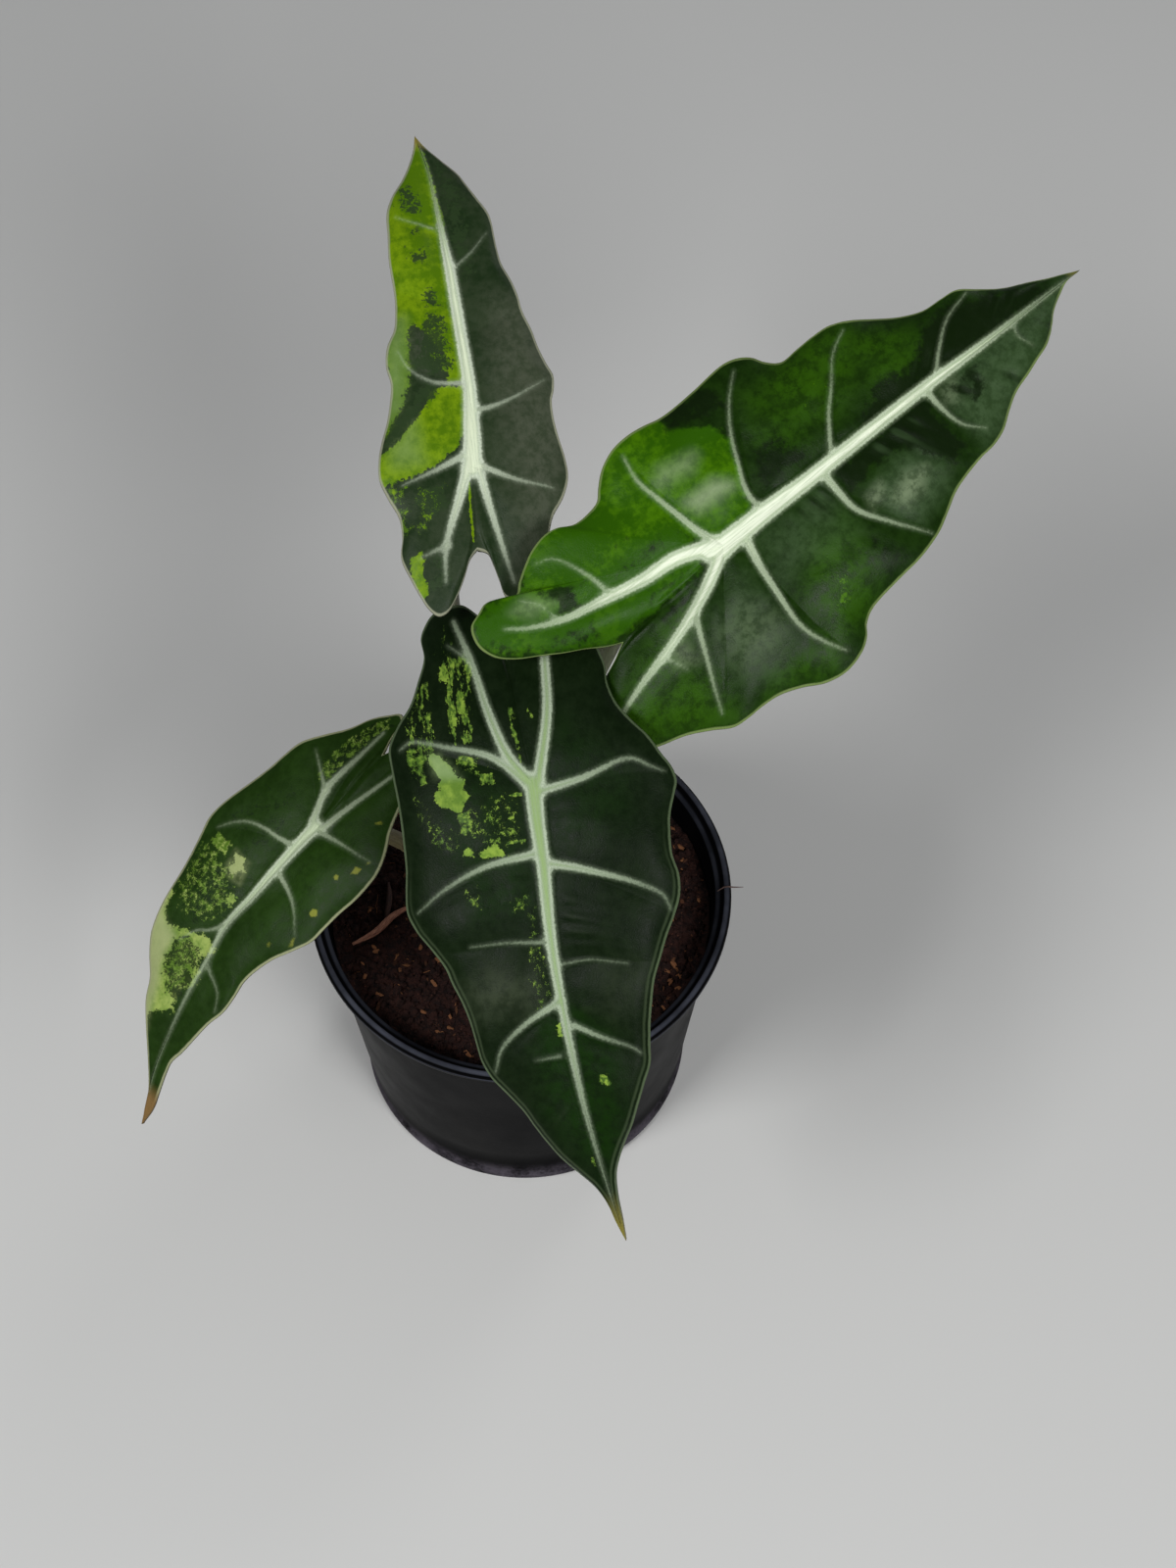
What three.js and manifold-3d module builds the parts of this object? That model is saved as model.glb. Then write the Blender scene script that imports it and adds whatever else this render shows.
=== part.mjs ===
import * as THREE from "three";
import { mergeVertices } from "three/addons/utils/BufferGeometryUtils.js";
import Module from "manifold-3d";

// Alocasia with four arrow-shaped leaves in a black nursery pot.
// Millimetres, Z up, pot axis on Z, underside of the pot at Z 0. The leaf called front hangs towards -Y.

// Pot
const POT_HEIGHT = 91;
const RIM_RADIUS = 60;
const FOOT_RADIUS = 48.7;
const FOOT_ROUND = 3;
const FOOT_TOP = 6;
const FOOT_STEP = 0.5;
const WALL = 1.1;
const FLOOR = 2;
const FLOOR_CORNER = 2;
const LIP_STEP = 3.2;
// Rounded lip from its underside over the top to the inner wall: offsets from the rim radius and the pot's height
const LIP = [[-0.2, -3], [0, -1.2], [-0.6, -0.2], [-1.4, 0], [-2.2, -0.3]];
const LIP_FOOT = 4;
const LIP_INNER = 2;
const POT_SIDES = 48;
const DRAIN_HOLES = 6;
const DRAIN_RADIUS = 4.5;
const DRAIN_RING = 30;

// Soil
const SOIL_TOP = 79.5;
const SOIL_RELIEF = 1.3;
const SOIL_SIDES = 36;
const SOIL_RINGS = [7, 13, 19, 25, 31, 37, 43, 49, 53];
const CLEARANCE = 0.3;

// Blades
const BLADE_THICKNESS = 0.9;
const EDGE_THICKNESS = 0.65;
const RIB_RISE = 0.45;
const RIB_DEPTH = 0.9;
const MIDRIB_DEPTH = 2.2;
const SPINE_LIFT = 0.2;
const MIDRIB_HALF = { joint: 2.4, tip: 0.4 };
const RIB_HALF = 0.45;
const RIPPLE_LENGTH = 5;
const COLUMNS = [0.2, 0.42, 0.64, 0.84, 1];

// Petioles
const PETIOLE_SIDES = 10;
const PETIOLE_RINGS = 12;
const PETIOLE_FOOT_Z = 61;

// Every leaf lies on its own plane: u runs along the midrib from the joint with the petiole to the tip, v to the left
// of it seen from above with the tip ahead. Lobes reach back to negative u. Each half has its margin from tip to sinus
// and its veins in the same order: from = place on the midrib, via = point half-way, to = end on the margin.
const LEAVES = {
  back: {
    joint: [-9.7, 39.2, 234],
    tip: [-26.2, 136, 252],
    roll: 0,
    arch: 4,
    lobe: 36,
    drop: { left: 3, right: 6 },
    fold: 0.12,
    cup: 0.006,
    puff: 0.9,
    curl: 0.6,
    ripple: 0.6,
    apex: [99, 0.3],
    sinus: [-20.5, 2],
    midrib: [[86, -1.5], [71, -2], [55, -2.5], [38, -2.5], [21, -2.5], [7, -1]],
    left: {
      margin: [
        [95, 1.2], [90, 3], [85, 5.5], [80, 9], [75, 11], [68, 11.7], [60, 12.5], [50, 12.5], [45, 13], [40, 14],
        [35, 16.5], [30, 17.5], [25, 17], [20, 18], [15, 19.5], [10, 21.5], [5, 23], [0, 23.5], [-5, 22], [-10, 20],
        [-15, 20], [-20, 21], [-25.5, 19.5], [-30, 17.8], [-33.2, 16.2], [-35.3, 14], [-34.6, 11.6],
        [-31.5, 9], [-27, 6.3], [-22.5, 4],
      ],
      veins: [
        { from: 68, via: [69.5, 4], to: [73, 11.3], rib: 0.5, rows: 3 },
        { from: 45, via: [46, 6], to: [51, 12.5], rib: 0.4, rows: 3 },
        { from: 22.5, via: [24, 7.5], to: [32, 17], rib: 0.8, rows: 3 },
        { from: 3, via: [-0.5, 11.5], to: [-3, 22.5], rib: 0.9, rows: 4 },
        { from: 0, via: [-17, 8.8], to: [-35.2, 13.5], rib: 1.2, rows: 6 },
      ],
    },
    right: {
      margin: [
        [95, -2], [90, -5.5], [85, -9], [80, -11], [75, -13], [70, -15], [60, -15.5], [55, -16], [50, -17.5],
        [45, -18.5], [40, -19], [35, -20.5], [30, -21.5], [25, -23], [22, -24], [18, -23.5], [15, -22.5], [10, -22.2],
        [5, -22.7], [0, -23.5], [-5, -23.5], [-10, -21.5], [-15, -18], [-19, -16.5], [-24, -15.5], [-28.5, -13.5],
        [-32, -10], [-33, -6.5], [-32, -3.5], [-28.5, -2.5], [-24.5, -1.5], [-21.5, -0.5],
      ],
      veins: [
        { from: 56, via: [60, -9], to: [68, -15.2], rib: 0.5, rows: 4 },
        { from: 36, via: [37, -11], to: [42, -18.8], rib: 0.4, rows: 3 },
        { from: 15, via: [16.5, -12.5], to: [22, -24], rib: 0.9, rows: 3 },
        { from: 0, via: [-5.5, -12], to: [-9.5, -21.8], rib: 0.9, rows: 4 },
        { from: 0, via: [-16.5, -3.6], to: [-33, -7], rib: 1.2, rows: 4 },
      ],
    },
  },
  right: {
    joint: [52.5, 14.7, 234],
    tip: [140.9, 89.1, 249],
    roll: 22,
    arch: 5,
    lobe: 58,
    drop: { left: 0, right: 16 },
    fold: 0.12,
    cup: 0.006,
    puff: 1.6,
    curl: 0.6,
    ripple: 1.2,
    apex: [121, -1],
    sinus: [-33, -2.5],
    midrib: [[107, -1], [87, -1], [66.5, -0.5], [46, -0.5], [25.5, -0.5], [5, 0.4]],
    left: {
      margin: [
        [117.5, 0.5], [111.5, 2.5], [106, 5], [100.5, 7.5], [94.5, 11], [89, 14], [84, 14.5], [78.5, 15], [73, 17.5],
        [67.5, 21], [61.5, 24.5], [56.5, 26.5], [51, 27], [46.5, 27], [41.5, 27], [38.5, 29.5], [36.5, 32.5],
        [33.5, 34.5], [29.5, 35.5], [19.5, 35], [9.5, 35], [4.5, 36], [-0.5, 36.5], [-5.5, 36], [-10, 34],
        [-13.5, 31], [-16, 28.5], [-20, 27.5], [-24.5, 27.5], [-28.5, 29.5], [-32, 30], [-36.5, 29], [-39.5, 27.5],
        [-43.5, 25], [-46, 23], [-50, 25], [-53.5, 26], [-56.5, 25], [-60, 23.5], [-61.5, 19], [-60, 14.5],
        [-56.5, 11], [-52, 8], [-46.5, 4.5], [-41.5, 2], [-37, -0.5],
      ],
      veins: [
        { from: 70, via: [80, 8.5], to: [91, 13], rib: 0.5, rows: 4 },
        { from: 36, via: [46.5, 14.5], to: [60.5, 25], rib: 0.9, rows: 5 },
        { from: 12, via: [18, 18.5], to: [33, 34.7], rib: 1.1, rows: 5 },
        { from: 0, via: [-5, 18], to: [-4, 36.2], rib: 1.1, rows: 5 },
        { from: 0, via: [-18, 13.5], to: [-32, 30], rib: 0, rows: 4 },
        { from: 0, via: [-31, 8.3], to: [-61, 19], rib: 1.5, rows: 6 },
      ],
    },
    right: {
      margin: [
        [118, -1], [115.5, -1.4], [112.5, -2.7], [108, -5], [103.5, -8.5], [99, -11], [94, -12.5], [89.5, -14],
        [84.5, -15.5], [80, -18], [75, -21], [70, -22.5], [65, -23], [60, -24], [55, -25.5], [50.5, -28], [45.5, -30.5], [40.5, -32],
        [35.5, -33], [30, -33.5], [20, -35], [16.5, -37], [14.5, -39.5], [11.5, -41.5], [5.5, -43], [0, -42],
        [-5.5, -39], [-11, -37], [-16, -36.5], [-21, -36.5], [-24.5, -36], [-29, -33], [-34, -30], [-41, -27.5],
        [-47, -24.5], [-51, -20], [-51.5, -15], [-47, -10.5], [-41, -6.5], [-36.5, -4.5],
      ],
      veins: [
        { from: 64, via: [66, -11], to: [73.5, -21.5], rib: 0.7, rows: 5 },
        { from: 30, via: [32, -15.5], to: [45, -30.7], rib: 0.9, rows: 4 },
        { from: 5, via: [2, -21], to: [9, -42.3], rib: 1, rows: 5 },
        { from: 0, via: [-14, -17], to: [-26, -35], rib: 0, rows: 5 },
        { from: 0, via: [-26, -11], to: [-51.5, -17.5], rib: 1.4, rows: 4 },
      ],
    },
  },
  front: {
    joint: [5.9, -36.7, 206],
    tip: [28.8, -123.9, 129],
    roll: 14,
    arch: 8,
    lobe: 46,
    drop: { left: 20, right: 20 },
    fold: 0.1,
    cup: 0.005,
    puff: 1,
    curl: 1.4,
    ripple: 0.5,
    apex: [118.5, 0],
    sinus: [-29.5, -2.5],
    midrib: [[95, -1.5], [78.5, -2.5], [58.5, -3], [39, -2.5], [19.5, -1], [5, -0.6]],
    left: {
      margin: [
        [112.5, 0.4], [106, 0.6], [100, 1.4], [96, 3], [91.5, 5.5], [87.5, 8], [82.5, 10.5], [77.5, 13], [72.5, 15.5],
        [68.5, 16.2], [63, 17.3], [58.5, 18.5], [52, 20.5], [46.5, 23.2], [42, 25.5], [37.5, 28.2], [33, 30.3],
        [28, 31], [23, 30.3], [18, 30.7], [13.5, 31.5], [9, 33.3], [6, 34.4], [2.5, 33.8], [-1, 32], [-6, 29.5],
        [-10.5, 26], [-15, 23], [-20, 21.5], [-24, 21.5],
        [-29, 20], [-35, 17.5], [-41, 13], [-44, 8], [-43.5, 3.5], [-40, 0.5], [-35, -1],
      ],
      veins: [
        { from: 59.5, via: [63.5, 6.5], to: [69.5, 16], rib: 0.7, rows: 4 },
        { from: 44, via: [44.5, 10], to: [48, 22.5], rib: 0.4, rows: 3 },
        { from: 19.5, via: [25, 14.5], to: [37, 28], rib: 1, rows: 4 },
        { from: 2, via: [-0.5, 17], to: [3.5, 33.5], rib: 0.9, rows: 4 },
        { from: 0, via: [-13, 12], to: [-20, 21.5], rib: 0, rows: 3 },
        { from: 0, via: [-21.5, 6.8], to: [-44, 8], rib: 1.3, rows: 4 },
      ],
    },
    right: {
      margin: [
        [113, -1.5], [108, -2.5], [103, -4.5], [98.5, -7.5], [93.5, -11], [89, -13.5], [84, -16], [79.5, -18],
        [74.5, -21], [69.5, -24], [65, -25.5], [60, -26], [55, -26.5], [50, -27.5], [45, -29], [40.5, -30],
        [35.5, -32.5], [30.5, -35.5], [26, -37], [21, -36.5], [16, -35.5], [11, -35], [1, -34.5], [-8.5, -35],
        [-13.5, -35], [-18.5, -32], [-23, -28], [-28, -25.5], [-33, -23.5], [-37.5, -24], [-40.5, -22.5],
        [-42.5, -20.5], [-43.5, -16.5], [-43.5, -13], [-41.5, -10], [-37, -6],
      ],
      veins: [
        { from: 53, via: [59, -15], to: [69.5, -24], rib: 0.9, rows: 5 },
        { from: 38, via: [36.5, -16], to: [36.5, -32], rib: 0.5, rows: 4 },
        { from: 16.5, via: [18.7, -19.5], to: [26, -37], rib: 1, rows: 3 },
        { from: 0, via: [-10.5, -16.5], to: [-13.5, -35], rib: 1, rows: 4 },
        { from: 0, via: [-22, -9.5], to: [-43.5, -17], rib: 1.2, rows: 5 },
      ],
    },
  },
  left: {
    joint: [-52, -17, 153],
    tip: [-100, -75, 95],
    roll: 0,
    arch: 5,
    lobe: 36,
    drop: { left: 5, right: 5 },
    fold: 0.12,
    cup: 0.006,
    puff: 0.8,
    curl: 0.5,
    ripple: 0.5,
    apex: [96, -1],
    sinus: [-24.5, 2.4],
    midrib: [[80, -4.5], [65, -5.5], [55, -6], [45, -6], [35, -6.5], [25, -4.5], [15, -3], [5, -1.5]],
    left: {
      margin: [
        [90, 0], [85, -0.5], [80, -1.2], [76, -1.4], [72, 0], [65, 2], [60, 3.5], [55, 5.5], [50, 6], [45, 6],
        [40, 7.5], [35, 10], [30, 13.5], [25, 16.5], [20, 17.5], [15, 18.5], [10, 20], [5, 21], [0, 21.3],
        [-5, 19.9], [-10, 17.3], [-15, 15.6], [-20, 14.5], [-25, 13.5], [-30, 12.5], [-34, 10.5], [-35, 8],
        [-32.5, 5.8], [-28, 4],
      ],
      veins: [
        { from: 47.5, via: [50.5, 0.5], to: [56, 5.3], rib: 0.5, rows: 4 },
        { from: 15.5, via: [20, 7], to: [28.5, 14.5], rib: 0.8, rows: 4 },
        { from: 0, via: [-0.5, 10.5], to: [-1, 21.5], rib: 0.8, rows: 4 },
        { from: 0, via: [-16, 6.8], to: [-35, 8.5], rib: 1.1, rows: 5 },
      ],
    },
    right: {
      margin: [
        [90, -2], [85, -4.5], [80, -7.5], [75, -10.5], [70, -13.5], [65, -16.5], [60, -18.5], [55, -22], [50, -24.5],
        [45, -25.5], [40, -26], [30, -26.5], [20, -27.5], [15, -28], [10, -27], [5, -25.3], [0, -23.5],
        [-5, -21.8], [-10, -20.4], [-15, -18.6], [-20, -14.5], [-25, -10], [-30, -7], [-33.5, -3.5], [-35, -1.5],
        [-34, 0.3], [-30, 1], [-27, 1.7],
      ],
      veins: [
        { from: 35.5, via: [39, -13], to: [46, -25.4], rib: 0.6, rows: 5 },
        { from: 7, via: [9, -14.5], to: [18, -27.7], rib: 0.8, rows: 4 },
        { from: 0, via: [-9.5, -8.5], to: [-17.5, -16.5], rib: 0.7, rows: 4 },
        { from: 0, via: [-17.5, -3.3], to: [-35, -1.5], rib: 1, rows: 4 },
      ],
    },
  },
};

// Petiole centre lines from the soil up, the last point in the blade, with radii at foot and top.
const PETIOLES = {
  back: { path: [[-3, 7, 79], [-9, 13, 133], [-15.3, 21, 188], [-15.8, 28, 211]], foot: 4.3, top: 2 },
  right: { path: [[7, 2, 79], [12, 5, 128], [17.5, 9.5, 175], [22, 11, 195], [31.5, 13.5, 216]], foot: 4.5, top: 2.4 },
  front: { path: [[1.5, -7, 79], [3, -13, 123], [5, -21, 173], [5.6, -29, 195]], foot: 4.3, top: 2.3 },
  left: { path: [[-7, -2, 79], [-19, -3, 100], [-31, -6, 127], [-43, -12, 145]], foot: 4, top: 2 },
};

// A dry leaf sheath lying on the soil at the left of the pot.
const DRY_SHEATH = {
  path: [[-48, -11.6, 80.2], [-41.5, -8, 80.9], [-36.5, -2.6, 81], [-31, 1.2, 80.5]],
  radius: 1,
  sides: 6,
  rings: 10,
};

const COLOURS = {
  pot: { color: 0x17171a, roughness: 0.42 },
  soil: { color: 0x2e1c15, roughness: 0.97 },
  sheath: { color: 0x8f6148, roughness: 0.85 },
  petiole: { color: 0x8b9068, roughness: 0.55 },
  back: { color: 0x6f8b3a, roughness: 0.4 },
  right: { color: 0x4f8a1c, roughness: 0.32 },
  front: { color: 0x1f3f1d, roughness: 0.4 },
  left: { color: 0x3c6329, roughness: 0.42 },
};

const wasm = await Module();
wasm.setup();

// Repeatable random numbers from 0 to 1
function seeded(seed) {
  let state = seed;
  return () => {
    state = (state * 1664525 + 1013904223) % 4294967296;
    return state / 4294967296;
  };
}

const mix = (a, b, f) => a + (b - a) * f;
const mixPoint = (a, b, f) => [mix(a[0], b[0], f), mix(a[1], b[1], f)];
const distance = (a, b) => Math.hypot(a[0] - b[0], a[1] - b[1]);
const smooth = (f) => f * f * (3 - 2 * f);
const clamp = THREE.MathUtils.clamp;

// Points and triangle corners to a closed solid; corners at the same place become one.
function solidFrom(points, corners) {
  const loose = new THREE.BufferGeometry().setFromPoints(points).setIndex(corners);
  const tight = mergeVertices(loose, 2e-3);
  const index = tight.index.array;
  const kept = [];
  for (let i = 0; i < index.length; i += 3) {
    const [a, b, c] = [index[i], index[i + 1], index[i + 2]];
    if (a !== b && b !== c && a !== c) kept.push(a, b, c);
  }
  return solidOf(tight.setIndex(kept));
}

function solidOf(geometry) {
  return new wasm.Manifold(
    new wasm.Mesh({
      numProp: 3,
      vertProperties: new Float32Array(geometry.attributes.position.array),
      triVerts: new Uint32Array(geometry.index.array),
    }),
  );
}

function geometryOf(solid) {
  const mesh = solid.getMesh();
  return new THREE.BufferGeometry()
    .setAttribute("position", new THREE.BufferAttribute(mesh.vertProperties, 3))
    .setIndex(new THREE.BufferAttribute(mesh.triVerts, 1));
}

const largest = (solid) => solid.decompose().reduce((a, b) => (a.volume() > b.volume() ? a : b));

// A smooth line through flat points, read by the length along it.
function lineThrough(points) {
  const curve = new THREE.CatmullRomCurve3(
    points.map(([u, v]) => new THREE.Vector3(u, v, 0)),
    false,
    "centripetal",
  );
  const samples = curve.getPoints(points.length * 8).map((p) => [p.x, p.y]);
  const lengths = [0];
  for (let i = 1; i < samples.length; i++) lengths.push(lengths[i - 1] + distance(samples[i - 1], samples[i]));
  const at = (length) => {
    let i = lengths.findIndex((l) => l >= length);
    if (i < 0) i = lengths.length - 1;
    if (i === 0) return samples[0];
    const f = (length - lengths[i - 1]) / (lengths[i] - lengths[i - 1]);
    return mixPoint(samples[i - 1], samples[i], clamp(f, 0, 1));
  };
  const nearest = (point) => {
    const best = samples.reduce((a, p, i) => (distance(p, point) < distance(samples[a], point) ? i : a), 0);
    return lengths[best];
  };
  return { at, nearest, total: lengths[lengths.length - 1] };
}

// The curved surface of a leaf over its plane
function leafFrame(leaf) {
  const joint = new THREE.Vector3(...leaf.joint);
  const along = new THREE.Vector3(...leaf.tip).sub(joint);
  const length = along.length();
  along.normalize();
  const across = new THREE.Vector3(0, 0, 1).cross(along).normalize();
  const up = along.clone().cross(across);
  const turn = THREE.MathUtils.degToRad(leaf.roll);
  across.applyAxisAngle(along, turn);
  up.applyAxisAngle(along, turn);
  const bow = Math.min(...leaf.midrib.map(([, v]) => v));
  const height = (u, v) => {
    const x = u / length;
    const side = smooth(clamp((v + 8) / 16, 0, 1));
    const drop = mix(leaf.drop.right, leaf.drop.left, side);
    const arch = 4 * leaf.arch * x * (u > 0 ? 1 - x : 1) - drop * (Math.min(u, 0) / leaf.lobe) ** 2;
    const centre = u > 0 ? bow * 4 * x * (1 - x) : 0;
    const off = Math.hypot(v - centre, 2) - 2;
    return arch + leaf.fold * off - leaf.cup * off * off;
  };
  const place = (u, v, w) =>
    joint.clone().addScaledVector(along, u).addScaledVector(across, v).addScaledVector(up, w);
  return { height, place, length };
}

// Rows of points across one half, from the tip to the sinus, two of them beside every vein so that it stands up.
function halfRows(leaf, half, length) {
  const margin = lineThrough([leaf.apex, ...half.margin, leaf.sinus]);
  const rib = lineThrough([leaf.apex, ...leaf.midrib, [0, 0]]);
  const spine = (from) => {
    if (from <= 0) return mixPoint([0, 0], leaf.sinus, from / leaf.sinus[0]);
    let low = 0;
    let high = rib.total;
    for (let i = 0; i < 30; i++) {
      const middle = (low + high) / 2;
      if (rib.at(middle)[0] > from) low = middle;
      else high = middle;
    }
    return rib.at(low);
  };
  const ends = [
    { from: leaf.apex[0], end: 0, rib: 0 },
    ...half.veins.map((vein) => ({ ...vein, end: margin.nearest(vein.to) })),
    { from: leaf.sinus[0], end: margin.total, rib: 0, rows: half.veins[half.veins.length - 1].rows },
  ];
  for (const ray of ends) {
    const start = spine(ray.from);
    const stop = margin.at(ray.end);
    const middle = mixPoint(start, stop, 0.5);
    ray.bend = ray.via ? [2 * (ray.via[0] - middle[0]), 2 * (ray.via[1] - middle[1])] : [0, 0];
  }
  const point = (k, f, t) => {
    const [a, b] = [ends[k], ends[k + 1]];
    const start = spine(mix(a.from, b.from, f));
    const stop = margin.at(mix(a.end, b.end, f));
    const bend = mixPoint(a.bend, b.bend, f);
    const [u, v] = mixPoint(start, stop, t);
    const bow = t * (1 - t);
    return [u + bow * bend[0], v + bow * bend[1]];
  };
  const rows = [];
  const addRow = (k, share, rise, offset) => {
    const from = mix(ends[k].from, ends[k + 1].from, share);
    const start = point(k, share, 0);
    const reach = distance(start, point(k, share, 1));
    const midribHalf = mix(MIDRIB_HALF.joint, MIDRIB_HALF.tip, Math.sqrt(clamp(Math.abs(from) / length, 0, 1)));
    const first = reach > 0 ? Math.min(midribHalf / reach, 0.35) : 0.35;
    const columns = [0, first, ...COLUMNS.map((c) => mix(first, 1, c))].map((t) => {
      let f = share;
      if (offset) {
        const gap = distance(point(k, 0, t), point(k, 1, t));
        const side = Math.min((RIB_HALF + offset.rib * (1 - 0.8 * t)) / Math.max(gap, 1e-6), 0.3);
        f = offset.after ? side : 1 - side;
      }
      const [u, v] = point(k, f, t);
      const end = mix(ends[k].end, ends[k + 1].end, f);
      return { u, v, t, f, end, rise: rise * (1 - t) };
    });
    rows.push({ from, columns, interval: k });
  };
  addRow(0, 0, 0);
  for (let k = 0; k < ends.length - 1; k++) {
    const [a, b] = [ends[k], ends[k + 1]];
    if (k > 0) addRow(k, 0, a.rib, null);
    if (a.rib) addRow(k, 0, 0, { rib: a.rib, after: true });
    for (let i = 1; i < b.rows; i++) addRow(k, i / b.rows, 0);
    if (b.rib) addRow(k, 1, 0, { rib: b.rib, after: false });
  }
  addRow(ends.length - 2, 1, 0);
  return rows;
}

// One closed blade. grow thickens it on both faces, for cutting the petiole that meets it.
function bladeSolid(leaf, grow = 0) {
  const { height, place, length } = leafFrame(leaf);
  const points = [];
  const corners = [];
  // Upper and lower points are kept in pairs, so that both faces are split in the same triangles.
  const addPair = (u, v, lift, depth) => {
    const w = height(u, v);
    points.push(place(u, v, w + lift + grow), place(u, v, w - depth - grow));
    return points.length - 2;
  };
  const addTriangle = (a, b, c) => corners.push(a, b, c, a + 1, c + 1, b + 1);
  const halves = ["left", "right"].map((side) => ({ side, rows: halfRows(leaf, leaf[side], length) }));
  const froms = [...new Set(halves.flatMap(({ rows }) => rows.map((row) => row.from)))].sort((a, b) => b - a);
  const starts = new Map(halves.flatMap(({ rows }) => rows.map((row) => [row.from, row.columns[0]])));
  const spineDepth = (from) => {
    const towards = from > 0 ? from / leaf.apex[0] : from / leaf.sinus[0];
    return MIDRIB_DEPTH * Math.sqrt(clamp(1 - towards, 0, 1));
  };
  const spine = froms.map((from) => {
    const { u, v } = starts.get(from);
    return addPair(u, v, SPINE_LIFT, BLADE_THICKNESS + spineDepth(from));
  });
  for (const { side, rows } of halves) {
    const flip = side === "right";
    const face = (a, b, c) => (flip ? addTriangle(a, c, b) : addTriangle(a, b, c));
    const wave = (column) => leaf.ripple * column.t ** 4 * Math.sin(column.end / RIPPLE_LENGTH + (flip ? 2 : 0));
    const grid = rows.map((row, i) =>
      row.columns.map((column, j) => {
        // The halves meet along the spine, and each closes to a point at the apex and the sinus.
        if (j === 0 || i === 0 || i === rows.length - 1) return spine[froms.indexOf(row.from)];
        const { u, v, t, f, rise } = column;
        const dome = leaf.puff * 4 * f * (1 - f) * 4 * t * (1 - t);
        const lift = dome + wave(column) - leaf.curl * clamp((t - 0.8) / 0.2, 0, 1) ** 2;
        const sheet = t === 1 ? EDGE_THICKNESS : BLADE_THICKNESS;
        return addPair(u, v, lift + RIB_RISE * rise, sheet - lift + RIB_DEPTH * rise);
      }),
    );
    for (let i = 0; i + 1 < grid.length; i++) {
      const [here, next] = [grid[i], grid[i + 1]];
      const [a, b] = [spine.indexOf(here[0]), spine.indexOf(next[0])];
      for (let k = a; k < b; k++) face(spine[k], here[1], spine[k + 1]);
      face(spine[b], here[1], next[1]);
      for (let j = 1; j + 1 < here.length; j++) {
        face(here[j], here[j + 1], next[j + 1]);
        face(here[j], next[j + 1], next[j]);
      }
      const last = here.length - 1;
      const [outerA, outerB] = flip ? [next[last], here[last]] : [here[last], next[last]];
      corners.push(outerA, outerA + 1, outerB + 1, outerA, outerB + 1, outerB);
    }
  }
  return solidFrom(points, corners);
}

// A round stem along a smooth path; radiusAt takes the share of the way along.
function stemSolid(path, radiusAt, sides, rings) {
  const curve = new THREE.CatmullRomCurve3(path.map((p) => new THREE.Vector3(...p)));
  const frames = curve.computeFrenetFrames(rings, false);
  const points = [];
  const corners = [];
  for (let i = 0; i <= rings; i++) {
    const centre = curve.getPointAt(i / rings);
    for (let j = 0; j < sides; j++) {
      const angle = (j / sides) * Math.PI * 2;
      const radius = radiusAt(i / rings);
      points.push(
        centre
          .clone()
          .addScaledVector(frames.normals[i], radius * Math.cos(angle))
          .addScaledVector(frames.binormals[i], radius * Math.sin(angle)),
      );
    }
  }
  for (let i = 0; i < rings; i++) {
    for (let j = 0; j < sides; j++) {
      const [a, b] = [i * sides + j, i * sides + ((j + 1) % sides)];
      corners.push(a, b, b + sides, a, b + sides, a + sides);
    }
  }
  points.push(curve.getPointAt(0), curve.getPointAt(1));
  const [first, last] = [points.length - 2, points.length - 1];
  for (let j = 0; j < sides; j++) {
    const k = (j + 1) % sides;
    corners.push(first, k, j, last, rings * sides + j, rings * sides + k);
  }
  return solidFrom(points, corners);
}

function petioleSolid(name, grow = 0) {
  const { path, foot, top } = PETIOLES[name];
  const leaf = LEAVES[name];
  const line = [[path[0][0], path[0][1], PETIOLE_FOOT_Z - grow], ...path, leaf.joint];
  // The sheathing foot is thick for the first fifth, above it the stem tapers evenly.
  const radiusAt = (f) => grow + mix(foot, top, Math.min(1, 0.35 * f + 0.65 * smooth(clamp(f / 0.45, 0, 1))));
  return stemSolid(line, radiusAt, PETIOLE_SIDES, PETIOLE_RINGS);
}

function sheathSolid(grow = 0) {
  const { path, radius, sides, rings } = DRY_SHEATH;
  const radiusAt = (f) => grow + radius * (0.45 + 0.55 * Math.sin(Math.PI * clamp(f, 0.05, 0.95)));
  return stemSolid(path, radiusAt, sides, rings);
}

// Outer wall of the pot
const wallRadius = (z) =>
  mix(FOOT_RADIUS - FOOT_STEP, RIM_RADIUS - LIP_STEP, (z - FOOT_TOP) / (POT_HEIGHT - FOOT_TOP));

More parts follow.
